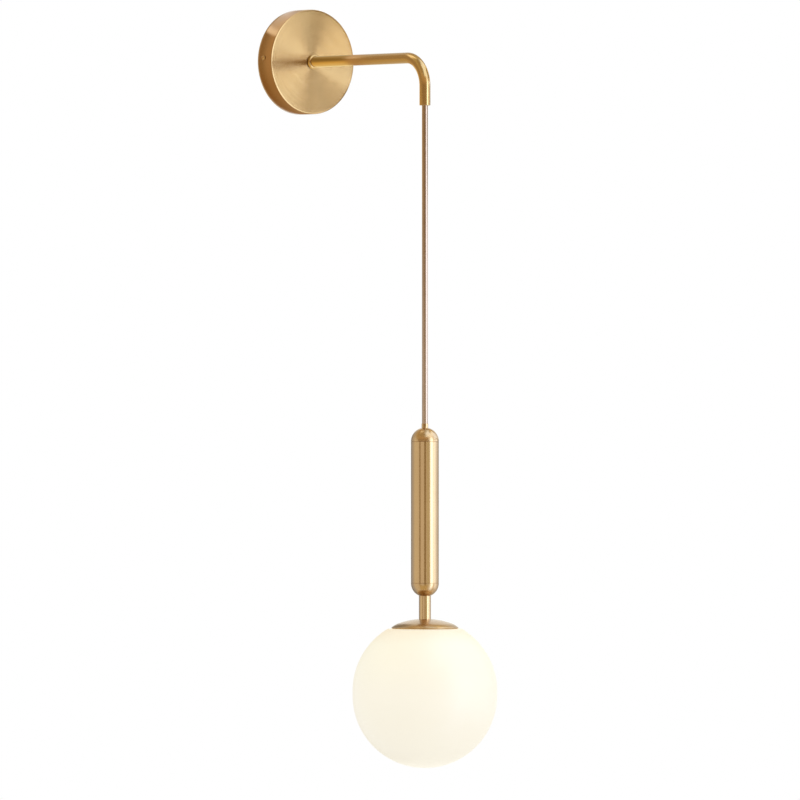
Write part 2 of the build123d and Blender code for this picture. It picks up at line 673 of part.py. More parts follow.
# Top dome: turned solid, stepped bore for ferrule and rod, spigot in the tube
with BuildPart() as pendant_top_cap:
    with BuildSketch(hang_section):
        with BuildLine():
            CenterArc((0, top_seam), pendant_radius, 0, degrees(acos(apex_hole / pendant_radius)))
            Polyline(
                (apex_hole, apex),
                (apex_hole, ferrule_seat),
                (rod_hole, ferrule_seat),
                (rod_hole, top_seam - SPIGOT_LENGTH),
                (spigot_radius, top_seam - SPIGOT_LENGTH),
                (spigot_radius, top_seam),
                (pendant_radius, top_seam),
            )
        make_face()
    revolve(axis=hang_axis)
export(pendant_top_cap.part, "pendant_top_cap")

# Tube: fine chamfers at both ends make the seams that show
with BuildPart() as pendant_tube:
    with BuildSketch(hang_section) as tube_section:
        band(pendant_radius - PENDANT_TUBE_WALL, pendant_radius, bottom_seam, top_seam)
        chamfer(tube_section.vertices().group_by(Axis.X)[-1], PENDANT_SEAM)
    revolve(axis=hang_axis)
export(pendant_tube.part, "pendant_tube")

# Bottom dome: flat seat for the stem, through hole for the rod
with BuildPart() as pendant_bottom_cap:
    dome_angle = degrees(acos(stem_seat_radius / pendant_radius))
    with BuildSketch(hang_section):
        with BuildLine():
            CenterArc((0, bottom_seam), pendant_radius, -dome_angle, dome_angle)
            Polyline(
                (pendant_radius, bottom_seam),
                (spigot_radius, bottom_seam),
                (spigot_radius, bottom_seam + SPIGOT_LENGTH),
                (rod_hole, bottom_seam + SPIGOT_LENGTH),
                (rod_hole, stem_top),
                (stem_seat_radius, stem_top),
            )
        make_face()
    revolve(axis=hang_axis)
export(pendant_bottom_cap.part, "pendant_bottom_cap")

# Hollow rod from the ferrule to the lampholder, and the cord inside it
with BuildPart() as draw_rod:
    with BuildSketch(hang_section):
        band(ROD_BORE / 2, ROD_DIAMETER / 2, rod_bottom, rod_top)
    revolve(axis=hang_axis)
export(draw_rod.part, "draw_rod")

with BuildPart() as pendant_cord:
    with BuildSketch(level(rod_bottom)):
        Circle(CORD_DIAMETER / 2)
    extrude(amount=ferrule_top - rod_bottom)
export(pendant_cord.part, "pendant_cord")

# Stem: sleeve over the rod
with BuildPart() as stem_sleeve:
    with BuildSketch(hang_section) as sleeve_section:
        band(ROD_DIAMETER / 2 + LOOSE_FIT, STEM_DIAMETER / 2, cap_seat, stem_top)
        chamfer(sleeve_section.vertices().group_by(Axis.X)[-1], STEM_EDGE)
    revolve(axis=hang_axis)
export(stem_sleeve.part, "stem_sleeve")

# Globe cap: wide dome arc, then a tighter arc to the rim, spun to an even wall
dome_centre = cap_seat - sqrt(CAP_DOME_RADIUS**2 - cap_seat_radius**2)
dome_turn = CAP_DOME_REACH / CAP_DOME_RADIUS
dome_edge = (CAP_DOME_REACH, dome_centre + sqrt(CAP_DOME_RADIUS**2 - CAP_DOME_REACH**2))
rim_edge = (CAP_DIAMETER / 2, cap_rim)
with BuildPart() as globe_cap:
    with BuildSketch(hang_section):
        with BuildLine():
            Polyline(rim_edge, (0, cap_rim), (0, cap_seat), (cap_seat_radius, cap_seat))
            RadiusArc((cap_seat_radius, cap_seat), dome_edge, CAP_DOME_RADIUS)
            TangentArc(dome_edge, rim_edge, tangent=(sqrt(1 - dome_turn**2), -dome_turn))
        make_face()
    revolve(axis=hang_axis)
    offset(amount=-CAP_WALL, openings=globe_cap.faces().sort_by(Axis.Z)[0])
    with BuildSketch(level(cap_seat)):
        Circle(rod_hole)
    extrude(amount=-2 * CAP_WALL, mode=Mode.SUBTRACT)
export(globe_cap.part, "globe_cap")

with BuildPart() as cap_nut:
    with BuildSketch(level(gallery_top)):
        RegularPolygon(NUT_ACROSS_FLATS / 2, NUT_SIDES, major_radius=False)
        Circle(rod_hole, mode=Mode.SUBTRACT)
    extrude(amount=NUT_THICKNESS)
    chamfer(cap_nut.faces().sort_by(Axis.Z)[0].outer_wire().edges(), NUT_CHAMFER)
export(cap_nut.part, "cap_nut")

# Gallery: pressed cup on the rod, its skirt carries the thread
gallery_radius = GALLERY_DIAMETER / 2
with BuildPart() as gallery:
    with BuildSketch(hang_section) as gallery_section:
        band(0, gallery_radius, gallery_top - GALLERY_HEIGHT, gallery_top)
        fillet(gallery_section.vertices().group_by(Axis.Y)[-1].sort_by(Axis.X)[-1], GALLERY_CORNER)
    revolve(axis=hang_axis)
    offset(amount=-GALLERY_WALL, openings=gallery.faces().sort_by(Axis.Z)[0])
    with BuildSketch(level(gallery_top)):
        Circle(rod_hole)
    extrude(amount=-2 * GALLERY_WALL, mode=Mode.SUBTRACT)
export(gallery.part, "gallery")

# Lampholder cover: threaded boss on the rod, tapered shoulder
holder_radius = HOLDER_DIAMETER / 2
holder_bore = holder_radius - HOLDER_WALL
with BuildPart() as holder_cover:
    with BuildSketch(hang_section):
        with BuildLine():
            Polyline(
                (rod_hole, holder_top),
                (HOLDER_TOP_DIAMETER / 2, holder_top),
                (holder_radius, holder_top - HOLDER_TAPER),
                (holder_radius, cover_bottom),
                (holder_bore, cover_bottom),
                (holder_bore, holder_top - HOLDER_TAPER - HOLDER_TOP),
                (HOLDER_TOP_DIAMETER / 2, holder_top - HOLDER_TOP),
                (HOLDER_BOSS / 2, holder_top - HOLDER_TOP),
                (HOLDER_BOSS / 2, holder_top - HOLDER_BOSS_DEPTH),
                (rod_hole, holder_top - HOLDER_BOSS_DEPTH),
                close=True,
            )
        make_face()
    revolve(axis=hang_axis)
export(holder_cover.part, "holder_cover")

# Lampholder skirt: ledge for the insert inside, grip grooves outside
insert_radius = holder_bore - LOOSE_FIT
shell_radius = SHELL_DIAMETER / 2
with BuildPart() as holder_skirt:
    with BuildSketch(hang_section):
        band(holder_bore, holder_radius, skirt_bottom, cover_bottom)
        band(shell_radius + LOOSE_FIT, holder_bore, insert_bottom - INSERT_LEDGE, insert_bottom)
    revolve(axis=hang_axis)
    with BuildSketch(level(skirt_bottom + GROOVE_MARGIN)):
        with PolarLocations(holder_radius, GROOVE_COUNT):
            Rectangle(2 * GROOVE_DEPTH, GROOVE_WIDTH)
    extrude(amount=SKIRT_HEIGHT - 2 * GROOVE_MARGIN, mode=Mode.SUBTRACT)
export(holder_skirt.part, "holder_skirt")

# Ceramic insert, threaded sleeve, sprung centre contact and terminal screws
holder_screw_places = [(-HOLDER_SCREW_SPACING / 2, 0), (HOLDER_SCREW_SPACING / 2, 0)]
with BuildPart() as holder_insert:
    with BuildSketch(level(insert_bottom)):
        Circle(insert_radius)
        with Locations(*holder_screw_places):
            Circle(HOLDER_SCREW / 2 + THREAD_FIT, mode=Mode.SUBTRACT)
    extrude(amount=INSERT_THICKNESS)
export(holder_insert.part, "holder_insert")

with BuildPart() as holder_shell:
    with BuildSketch(hang_section):
        band(shell_radius - SHELL_WALL, shell_radius, insert_bottom - SHELL_HEIGHT, insert_bottom)
    revolve(axis=hang_axis)
export(holder_shell.part, "holder_shell")

with BuildPart() as holder_contact:
    contact_end = CONTACT_LENGTH / 2
    strip_level = insert_bottom - CONTACT_THICKNESS / 2
    with BuildSketch(hang_section):
        with BuildLine():
            Polyline(
                (-contact_end, strip_level),
                (CONTACT_FOOT - contact_end, strip_level),
                (-CONTACT_FLAT / 2, strip_level - CONTACT_DIP),
                (CONTACT_FLAT / 2, strip_level - CONTACT_DIP),
                (contact_end - CONTACT_FOOT, strip_level),
                (contact_end, strip_level),
            )
        trace(line_width=CONTACT_THICKNESS)
    extrude(amount=CONTACT_WIDTH / 2, both=True)
export(holder_contact.part, "holder_contact")

with BuildPart() as holder_screws:
    with BuildSketch(level(insert_bottom + CONTACT_DIP)):
        with Locations(*holder_screw_places):
            Circle(HOLDER_SCREW / 2)
    extrude(amount=INSERT_THICKNESS - CONTACT_DIP)
    with BuildSketch(level(insert_top)):
        with Locations(*holder_screw_places):
            Circle(HOLDER_SCREW_HEAD / 2)
    extrude(amount=HOLDER_SCREW_HEAD_HEIGHT)
    with BuildSketch(level(insert_top + HOLDER_SCREW_HEAD_HEIGHT - SCREW_SLOT_DEPTH)):
        with Locations(*holder_screw_places):
            Rectangle(SCREW_SLOT_WIDTH, HOLDER_SCREW_HEAD)
    extrude(amount=SCREW_SLOT_DEPTH, mode=Mode.SUBTRACT)
export(holder_screws.part, "holder_screws")

# Leads from the cord's end to the lampholder's terminals
lead_place = HOLDER_SCREW_SPACING / 2 - (HOLDER_SCREW_HEAD + CORE_DIAMETER) / 2 - LOOSE_FIT
lead_run = (rod_bottom - insert_top) * LEAD_STRAIGHT_SHARE
lead_path, lead_radii = soft_route(
    [
        (CORE_SIDE, -ARM_REACH, rod_bottom),
        (CORE_SIDE, -ARM_REACH, rod_bottom - lead_run),
        (lead_place, -ARM_REACH, insert_top + lead_run),
        (lead_place, -ARM_REACH, insert_top),
    ]
)
print("holder_leads arc radii", [round(radius, 2) for radius in lead_radii])
with BuildPart() as holder_leads:
    with BuildSketch(level(insert_top)):
        with Locations((lead_place, 0)):
            Circle(CORE_DIAMETER / 2)
    sweep(path=lead_path)
    mirror(about=Plane.YZ)
export(holder_leads.part, "holder_leads")

# Bulb: contact, insulator, screw cap, moulded collar and opal dome
tip_radius = BULB_TIP_DIAMETER / 2
cap_top_radius = BULB_CAP_TOP_DIAMETER / 2
bulb_cap_radius = BULB_CAP_DIAMETER / 2
with BuildPart() as bulb_tip:
    with BuildSketch(hang_section):
        band(0, tip_radius, tip_bottom, contact_bottom)
    revolve(axis=hang_axis)
    fillet(bulb_tip.edges().group_by(Axis.Z)[-1], BULB_TIP_HEIGHT / 2)
export(bulb_tip.part, "bulb_tip")

with BuildPart() as bulb_insulator:
    with BuildSketch(hang_section):
        with BuildLine():
            Polyline(
                (0, tip_bottom),
                (tip_radius, tip_bottom),
                (cap_top_radius, bulb_cap_top),
                (0, bulb_cap_top),
                close=True,
            )
        make_face()
    revolve(axis=hang_axis)
export(bulb_insulator.part, "bulb_insulator")

with BuildPart() as bulb_cap:
    with BuildSketch(hang_section):
        with BuildLine():
            Polyline(
                (0, bulb_cap_top),
                (cap_top_radius, bulb_cap_top),
                (bulb_cap_radius, bulb_cap_top - BULB_CAP_SHOULDER),
                (bulb_cap_radius, bulb_cap_bottom),
                (0, bulb_cap_bottom),
                close=True,
            )
        make_face()
    revolve(axis=hang_axis)
export(bulb_cap.part, "bulb_cap")

neck_radius = BULB_NECK / 2
bulb_radius = BULB_DIAMETER / 2
dome_drop = sqrt(bulb_radius**2 - neck_radius**2)
bulb_centre = bulb_collar_bottom - dome_drop
with BuildPart() as bulb_collar:
    with BuildSketch(hang_section):
        with BuildLine():
            Polyline(
                (neck_radius, bulb_collar_bottom),
                (0, bulb_collar_bottom),
                (0, bulb_cap_bottom),
                (BULB_COLLAR_TOP / 2, bulb_cap_bottom),
            )
            TangentArc(
                (neck_radius, bulb_collar_bottom),
                (BULB_COLLAR_TOP / 2, bulb_cap_bottom),
                tangent=(-dome_drop, neck_radius),
            )
        make_face()
    revolve(axis=hang_axis)
export(bulb_collar.part, "bulb_collar")

with BuildPart() as bulb_dome:
    with BuildSketch(hang_section):
        with BuildLine():
            bulb_bottom = (0, bulb_centre - bulb_radius)
            neck_edge = (neck_radius, bulb_collar_bottom)
            Polyline(bulb_bottom, (0, bulb_collar_bottom), neck_edge)
            ThreePointArc(neck_edge, (bulb_radius, bulb_centre), bulb_bottom)
        make_face()
    revolve(axis=hang_axis)
export(bulb_dome.part, "bulb_dome")

# Globe: blown shell with an even wall, two round halves with a narrow straight band between them,
# a flat shoulder and an open mouth
with BuildPart() as globe:
    for inset, mode in ((0, Mode.ADD), (GLASS_WALL, Mode.SUBTRACT)):
        radius = GLOBE_DIAMETER / 2 - inset
        rise = GLOBE_SHOULDER_RISE - inset
        foot = (0, globe_low - radius)
        corner = (sqrt(radius**2 - rise**2), globe_high + rise)
        with BuildSketch(hang_section):
            with BuildLine():
                TangentArc(foot, (radius, globe_low), tangent=(1, 0))
                Line((radius, globe_low), (radius, globe_high))
                TangentArc((radius, globe_high), corner, tangent=(0, 1))
                Polyline(corner, (0, globe_high + rise), foot)
            make_face()
        revolve(axis=hang_axis, mode=mode)
    fillet(globe.edges().group_by(Axis.Z)[-1], GLOBE_SHOULDER_ROUND)
    with BuildSketch(level(shoulder)):
        Circle(mouth_radius)
    extrude(amount=-2 * GLASS_WALL, mode=Mode.SUBTRACT)
export(globe.part, "globe")

# Threaded ring cemented in the mouth, and the gasket on ring and shoulder
with BuildPart() as globe_collar:
    with BuildSketch(hang_section):
        band(collar_bore, collar_radius, shoulder - GLOBE_COLLAR_HEIGHT, shoulder)
    revolve(axis=hang_axis)
export(globe_collar.part, "globe_collar")

with BuildPart() as globe_gasket:
    with BuildSketch(hang_section):
        band(collar_bore + SLIP_FIT, mouth_radius + GASKET_OVERLAP, shoulder, shoulder + GASKET_THICKNESS)
    revolve(axis=hang_axis)
export(globe_gasket.part, "globe_gasket")
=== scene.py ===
from math import acos, asin, atan2, cos, degrees, pi, radians, sin, sqrt

import bpy
from mathutils import Matrix, Vector


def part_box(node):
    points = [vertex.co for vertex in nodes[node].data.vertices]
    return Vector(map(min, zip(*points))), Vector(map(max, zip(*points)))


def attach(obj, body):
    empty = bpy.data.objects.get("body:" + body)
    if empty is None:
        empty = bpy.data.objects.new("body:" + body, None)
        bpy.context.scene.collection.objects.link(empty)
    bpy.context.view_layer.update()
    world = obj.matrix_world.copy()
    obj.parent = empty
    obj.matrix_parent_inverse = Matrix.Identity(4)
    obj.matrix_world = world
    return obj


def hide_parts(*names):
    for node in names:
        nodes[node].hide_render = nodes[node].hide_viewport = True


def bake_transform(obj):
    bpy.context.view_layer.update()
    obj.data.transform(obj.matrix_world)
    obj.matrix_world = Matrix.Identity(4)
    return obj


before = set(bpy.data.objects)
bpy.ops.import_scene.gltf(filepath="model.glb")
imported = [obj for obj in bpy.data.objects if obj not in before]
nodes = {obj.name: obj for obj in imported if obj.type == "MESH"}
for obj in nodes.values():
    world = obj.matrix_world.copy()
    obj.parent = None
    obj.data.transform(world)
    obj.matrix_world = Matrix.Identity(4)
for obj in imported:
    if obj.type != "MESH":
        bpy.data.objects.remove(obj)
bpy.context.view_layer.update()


# Wall bracket: a strip of steel, punched, bent at both ends and zinc plated, that two screws hold
# to the wall. The plating is dull and pale, with faint crystals and small scuffs, and the nuts,
# washer, rod and small screws have it too.
STRIP_EDGE = 0.00025
NUT_EDGE = 0.0002
MERGE = 0.000002
FLAT_ANGLE = 1
EDGE_ANGLE = 40
CREASE_ANGLE = 18


class Wire:
    """A shader socket that can stand in a sum: each operator adds a Math node to its tree."""

    def __init__(self, tree, socket=None):
        self.tree = tree
        self.socket = socket

    def node(self, kind, settings, inputs, output=0):
        """Adds a node, sets its properties, then its sockets, and wraps one of its outputs."""
        made = self.tree.nodes.new(kind)
        for name, value in settings.items():
            if name == "stops":
                ramp = made.color_ramp.elements
                while len(ramp) < len(value):
                    ramp.new(1.0)
                for stop, (place, colour) in zip(ramp, value):
                    stop.position = place
                    stop.color = (*colour, 1.0)
            else:
                setattr(made, name, value)
        for name, value in inputs.items():
            if isinstance(value, Wire):
                self.tree.links.new(value.socket, made.inputs[name])
            else:
                made.inputs[name].default_value = value
        return Wire(self.tree, made.outputs[output] if made.outputs else None)

    def math(self, operation, first, second=0.0):
        return self.node("ShaderNodeMath", {"operation": operation}, {0: first, 1: second})

    def __add__(self, other):
        return self.math("ADD", self, other)

    def __sub__(self, other):
        return self.math("SUBTRACT", self, other)

    def __rsub__(self, other):
        return self.math("SUBTRACT", other, self)

    def __mul__(self, other):
        return self.math("MULTIPLY", self, other)

    def __truediv__(self, other):
        return self.math("DIVIDE", self, other)

    __radd__ = __add__
    __rmul__ = __mul__


def new_finish(name):
    """An empty node material, and a wire in it to make its nodes from."""
    made = bpy.data.materials.new(name)
    made.use_nodes = True
    made.node_tree.nodes.clear()
    return made, Wire(made.node_tree)


def surface(wire, sockets):
    """Ends a material with one Principled shader that has these values and links."""
    shader = wire.node("ShaderNodeBsdfPrincipled", {}, sockets)
    wire.node("ShaderNodeOutputMaterial", {}, {"Surface": shader})


def place_on(wire):
    return wire.node("ShaderNodeTexCoord", {}, {}, "Object")


def noise(wire, place, scale, detail=2.0):
    return wire.node("ShaderNodeTexNoise", {}, {"Vector": place, "Scale": scale, "Detail": detail})


def between(wire, share, first, second):
    """A colour between two others."""
    return wire.node("ShaderNodeMix", {"data_type": "RGBA"}, {0: share, 6: first, 7: second}, 2)


def bumped(wire, height, depth):
    """A normal from a height map that is this deep, in metres."""
    return wire.node("ShaderNodeBump", {}, {"Height": height, "Distance": depth})


def dress(names, finish):
    """Gives CAD nodes a finish."""
    for name in names:
        nodes[name].data.materials.clear()
        nodes[name].data.materials.append(finish)


def stand_for(piece, finish, body, node):
    """Dresses a finished piece, puts it on its body and lets it stand for its CAD node."""
    piece.data.materials.clear()
    piece.data.materials.append(finish)
    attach(piece, body)
    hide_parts(node)


def eased(name, node, width):
    """A copy of a CAD node with its sharp edges broken, as a pressed or moulded piece has them."""
    piece = bpy.data.objects.new(name, nodes[node].data.copy())
    piece.data.name = name
    bpy.context.scene.collection.objects.link(piece)
    bpy.ops.object.select_all(action="DESELECT")
    piece.select_set(True)
    bpy.context.view_layer.objects.active = piece
    bpy.ops.mesh.customdata_custom_splitnormals_clear()
    bpy.ops.object.mode_set(mode="EDIT")
    bpy.ops.mesh.select_all(action="SELECT")
    bpy.ops.mesh.remove_doubles(threshold=MERGE)
    bpy.ops.mesh.dissolve_limited(angle_limit=radians(FLAT_ANGLE))
    bpy.ops.object.mode_set(mode="OBJECT")
    edge = piece.modifiers.new("edge", "BEVEL")
    edge.width = width
    edge.segments = 2
    edge.angle_limit = radians(EDGE_ANGLE)
    bpy.ops.object.modifier_apply(modifier="edge")
    bpy.ops.object.shade_smooth_by_angle(angle=radians(CREASE_ANGLE))
    return piece


zinc_plate, wire = new_finish("zinc_plate")
place = place_on(wire)
crystals = wire.node("ShaderNodeTexVoronoi", {}, {"Vector": place, "Scale": 420.0}, "Color")
crystal_tone = wire.node("ShaderNodeSeparateColor", {}, {"Color": crystals})
scuffs = noise(wire, place, 260.0, 6.0)
surface(wire, {
    "Base Color": between(wire, crystal_tone * 0.6 + scuffs * 0.4,
                          (0.34, 0.35, 0.37, 1), (0.60, 0.61, 0.63, 1)),
    "Metallic": 1.0,
    "Roughness": scuffs * 0.25 + crystal_tone * 0.08 + 0.24,
    "Normal": bumped(wire, scuffs, 0.00008),
})
for name, node, edge, body in (
    ("bracket", "wall_bracket", STRIP_EDGE, "wall_arm"),
    ("thread_nut", "arm_nut", NUT_EDGE, "wall_arm"),
    ("rod_nut", "cap_nut", NUT_EDGE, "pendant"),
):
    stand_for(eased(name, node, edge), zinc_plate, body, node)
dress(["arm_washer", "cord_lock_screws", "terminal_screws", "block_screw", "draw_rod"], zinc_plate)


# Terminal block and cord clamp: nylon mouldings, milky and slightly waxy, the block screwed to the
# bracket's tongue and the clamp to the end of the arm. The bush in the arm's end is the same.
MOULDED_EDGE = 0.0003
WAX_DEPTH = (0.002, 0.0015, 0.001)

white_nylon, wire = new_finish("white_nylon")
place = place_on(wire)
flow = noise(wire, place, 90.0, 3.0)
grain = noise(wire, place, 1800.0)
surface(wire, {
    "Base Color": between(wire, flow, (0.70, 0.68, 0.61, 1), (0.83, 0.81, 0.75, 1)),
    "Roughness": grain * 0.2 + 0.36,
    "Subsurface Weight": 0.15,
    "Subsurface Radius": WAX_DEPTH,
    "Normal": bumped(wire, grain, 0.00002),
})
for name, node in (("block", "terminal_block"), ("clamp", "cord_lock")):
    stand_for(eased(name, node, MOULDED_EDGE), white_nylon, "wall_arm", node)
dress(["arm_bush"], white_nylon)


# Terminals: drawn brass sleeves, lug, earth screw and lampholder contacts, bare and a little dull,
# with fine drawing lines along each piece.
def stretched(wire, place, scale):
    """A place drawn out by a scale for each axis, for a pattern that runs one way."""
    return wire.node("ShaderNodeMapping", {}, {"Vector": place, "Scale": scale})


terminal_brass, wire = new_finish("terminal_brass")
place = place_on(wire)
tarnish = noise(wire, place, 160.0, 5.0)
drawn = noise(wire, stretched(wire, place, (9.0, 9.0, 1.0)), 300.0, 3.0)
surface(wire, {
    "Base Color": between(wire, tarnish, (0.42, 0.29, 0.10, 1), (0.70, 0.52, 0.22, 1)),
    "Metallic": 1.0,
    "Roughness": drawn * 0.2 + tarnish * 0.12 + 0.16,
    "Normal": bumped(wire, drawn, 0.00003),
})
dress(["terminal_sleeves", "earth_lug", "earth_screw", "holder_shell", "holder_contact",
       "holder_screws", "bulb_tip"], terminal_brass)


# Cores: soft insulation in brown, blue and green with yellow, which run from the cord's clamp to
# the terminals. The skin is smooth, with a faint extrusion ripple and handling marks.
STRIPE_EDGE = -0.0016
STRIPE_WANDER = 0.0002


def marked_skin(name, dark, light, scale=700.0, detail=4.0, dullness=0.3, depth=0.00003):
    """A smooth skin of two close tones, with faint marks that also dull and dent it."""
    made, wire = new_finish(name)
    marks = noise(wire, place_on(wire), scale, detail)
    surface(wire, {
        "Base Color": between(wire, marks, (*dark, 1), (*light, 1)),
        "Roughness": marks * 0.2 + dullness,
        "Normal": bumped(wire, marks, depth),
    })
    return made


def part_of(wire, place, axis):
    """One coordinate of a place."""
    return wire.node("ShaderNodeSeparateXYZ", {}, {"Vector": place}, axis)


brown_core = marked_skin("brown_core", (0.09, 0.035, 0.015), (0.17, 0.07, 0.03))
dress(["live_core", "holder_leads"], brown_core)
dress(["neutral_core"], marked_skin("blue_core", (0.02, 0.08, 0.28), (0.05, 0.16, 0.45)))
earth_core, wire = new_finish("earth_core")
place = place_on(wire)
marks = noise(wire, place, 700.0, 4.0)
stripe_line = part_of(wire, place, "Z") + marks * STRIPE_WANDER
on_stripe = wire.math("GREATER_THAN", stripe_line, STRIPE_EDGE)
surface(wire, {
    "Base Color": between(wire, on_stripe, (0.05, 0.22, 0.04, 1), (0.72, 0.55, 0.03, 1)),
    "Roughness": marks * 0.2 + 0.3,
    "Normal": bumped(wire, marks, 0.00003),
})
dress(["earth_core"], earth_core)


# Arm: one brass tube, its end turned down to a thread for the canopy and the rest bent down at the
# front. It is polished to a satin along its length and lacquered.
ARM_TONES = (0.44, 0.258, 0.078, 1), (0.58, 0.355, 0.115, 1)
ARM_RADIUS = 0.0057
ARM_BORE = 0.0037
ARM_THREAD = 0.005
ARM_THREAD_END = 0.0147
THREAD_PITCH = 0.001
THREAD_DEPTH = 0.00055
THREAD_TURNS = 7
CANOPY_FACE = 0.023
ARM_REACH = 0.213
ARM_BEND = 0.030
ARM_END = -0.050
ARM_EDGE = 0.0004
BEND_STEPS = 32
RING_POINTS = 96
SMOOTH_ANGLE = 35


def satin_brass(name, lines_across, dullness, tones):
    """Lacquered brass: fine polishing lines across one direction, cloudy patches in the polish."""
    made, wire = new_finish(name)
    place = place_on(wire)
    clouds = noise(wire, place, 35.0, 4.0)
    stretch = [2600.0 if axis == lines_across else 40.0 for axis in "XYZ"]
    lines = noise(wire, stretched(wire, place, stretch), 1.0, 3.0)
    surface(wire, {
        "Base Color": between(wire, clouds * 0.6 + lines * 0.4, *tones),
        "Metallic": 1.0,
        "Roughness": lines * 0.06 + clouds * 0.06 + dullness,
        "Coat Weight": 0.6,
        "Coat Roughness": 0.18,
        "Coat IOR": 1.6,
        "Normal": bumped(wire, lines, 0.000004),
    })
    return made


def fresh_edit(name):
    """Names the primitive just added and opens it for editing, with all of it selected."""
    piece = bpy.context.object
    piece.name = name
    piece.data.name = name
    bpy.ops.object.mode_set(mode="EDIT")
    bpy.ops.mesh.select_all(action="SELECT")
    return piece


def close_edit():
    """Merges doubles, turns the faces outwards and shades smooth up to an angle."""
    bpy.ops.mesh.select_all(action="SELECT")
    bpy.ops.mesh.remove_doubles(threshold=MERGE)
    bpy.ops.mesh.normals_make_consistent(inside=False)
    bpy.ops.object.mode_set(mode="OBJECT")
    bpy.ops.object.shade_smooth_by_angle(angle=radians(SMOOTH_ANGLE))


def draw_out(step):
    """Extrudes what is selected by a step."""
    bpy.ops.mesh.extrude_region_move(TRANSFORM_OT_translate={"value": step})


def level_ring(ratio, step):
    """The next ring on the arm's level stretch, scaled about its axis."""
    draw_out((0, -step, 0))
    bpy.ops.transform.resize(value=(ratio, 1, ratio), center_override=(0, 0, 0))


def upright_ring(ratio, step):
    """The next ring on the arm's upright end, scaled about its axis."""
    draw_out((0, 0, -step))
    bpy.ops.transform.resize(value=(ratio, ratio, 1), center_override=(0, -ARM_REACH, ARM_END))


def round_the_bend(turn):
    bpy.ops.mesh.spin(steps=BEND_STEPS, angle=turn, axis=(1, 0, 0),
                      center=(0, ARM_BEND - ARM_REACH, -ARM_BEND))


bpy.ops.object.select_all(action="DESELECT")
bpy.ops.mesh.primitive_circle_add(vertices=RING_POINTS, radius=ARM_THREAD,
                                  location=(0, -ARM_THREAD_END, 0), rotation=(pi / 2, 0, 0))
bpy.ops.object.transform_apply(location=True, rotation=True)
arm = fresh_edit("arm")
thread_root = 1 - THREAD_DEPTH / ARM_THREAD
for turn in range(THREAD_TURNS):
    level_ring(thread_root, THREAD_PITCH / 2)
    level_ring(1 / thread_root, THREAD_PITCH / 2)
level_ring(1, CANOPY_FACE - ARM_THREAD_END - THREAD_TURNS * THREAD_PITCH)
level_ring(ARM_RADIUS / ARM_THREAD, 0)
level_ring(1, ARM_REACH - ARM_BEND - CANOPY_FACE)
round_the_bend(-pi / 2)
draw_out((0, 0, ARM_END + ARM_BEND + ARM_EDGE))
upright_ring(1 - ARM_EDGE / ARM_RADIUS, ARM_EDGE)
upright_ring(ARM_BORE / (ARM_RADIUS - ARM_EDGE), 0)
draw_out((0, 0, -ARM_END - ARM_BEND))
round_the_bend(pi / 2)
draw_out((0, ARM_REACH - ARM_BEND - ARM_THREAD_END, 0))
level_ring(ARM_THREAD / ARM_BORE, 0)
close_edit()
arm_brass = satin_brass("arm_brass", "X", 0.12, ARM_TONES)
stand_for(arm, arm_brass, "wall_arm", "arm_tube")


# Arm collar: a rounded ring turned from brass, slipped over the arm and pressed on the canopy's
# face when the nut inside is tightened.
COLLAR_RADIUS = 0.0075
COLLAR_THICKNESS = 0.004
COLLAR_ROUND = 0.0017
COLLAR_PLAY = 0.00005
WALL_AXIS = Matrix.Rotation(pi / 2, 4, "X")


def arc(centre_radius, centre_height, radius, start, end, steps):
    """Points of an arc in a turned piece's half section, the angles in degrees from the radius."""
    turns = [radians(start + (end - start) * step / steps) for step in range(steps + 1)]
    return [(centre_radius + radius * cos(turn), centre_height + radius * sin(turn))
            for turn in turns]


def turned(name, profile, place):
    """A turned piece: a circle drawn out ring by ring through the (radius, height) points of its
    half section, then put in its place."""
    bpy.ops.object.select_all(action="DESELECT")
    radius, height = profile[0]
    bpy.ops.mesh.primitive_circle_add(vertices=RING_POINTS, radius=radius, location=(0, 0, 0))
    piece = fresh_edit(name)
    bpy.ops.transform.translate(value=(0, 0, height))
    for next_radius, next_height in profile[1:]:
        draw_out((0, 0, next_height - height))
        ratio = next_radius / radius
        bpy.ops.transform.resize(value=(ratio, ratio, 1), center_override=(0, 0, 0))
        radius, height = next_radius, next_height
    close_edit()
    piece.matrix_world = place
    bpy.ops.object.transform_apply(location=True, rotation=True)
    return piece


collar_inner = ARM_RADIUS + COLLAR_PLAY
collar_front = CANOPY_FACE + COLLAR_THICKNESS
collar_middle = COLLAR_RADIUS - COLLAR_ROUND
collar = turned("collar", [
    (collar_inner, CANOPY_FACE),
    *arc(collar_middle, CANOPY_FACE + COLLAR_ROUND, COLLAR_ROUND, -90, 0, steps=8),
    *arc(collar_middle, collar_front - COLLAR_ROUND, COLLAR_ROUND, 0, 90, steps=8),
    (collar_inner, collar_front),
    (collar_inner, CANOPY_FACE),
], WALL_AXIS)
stand_for(collar, arm_brass, "wall_arm", "arm_collar")


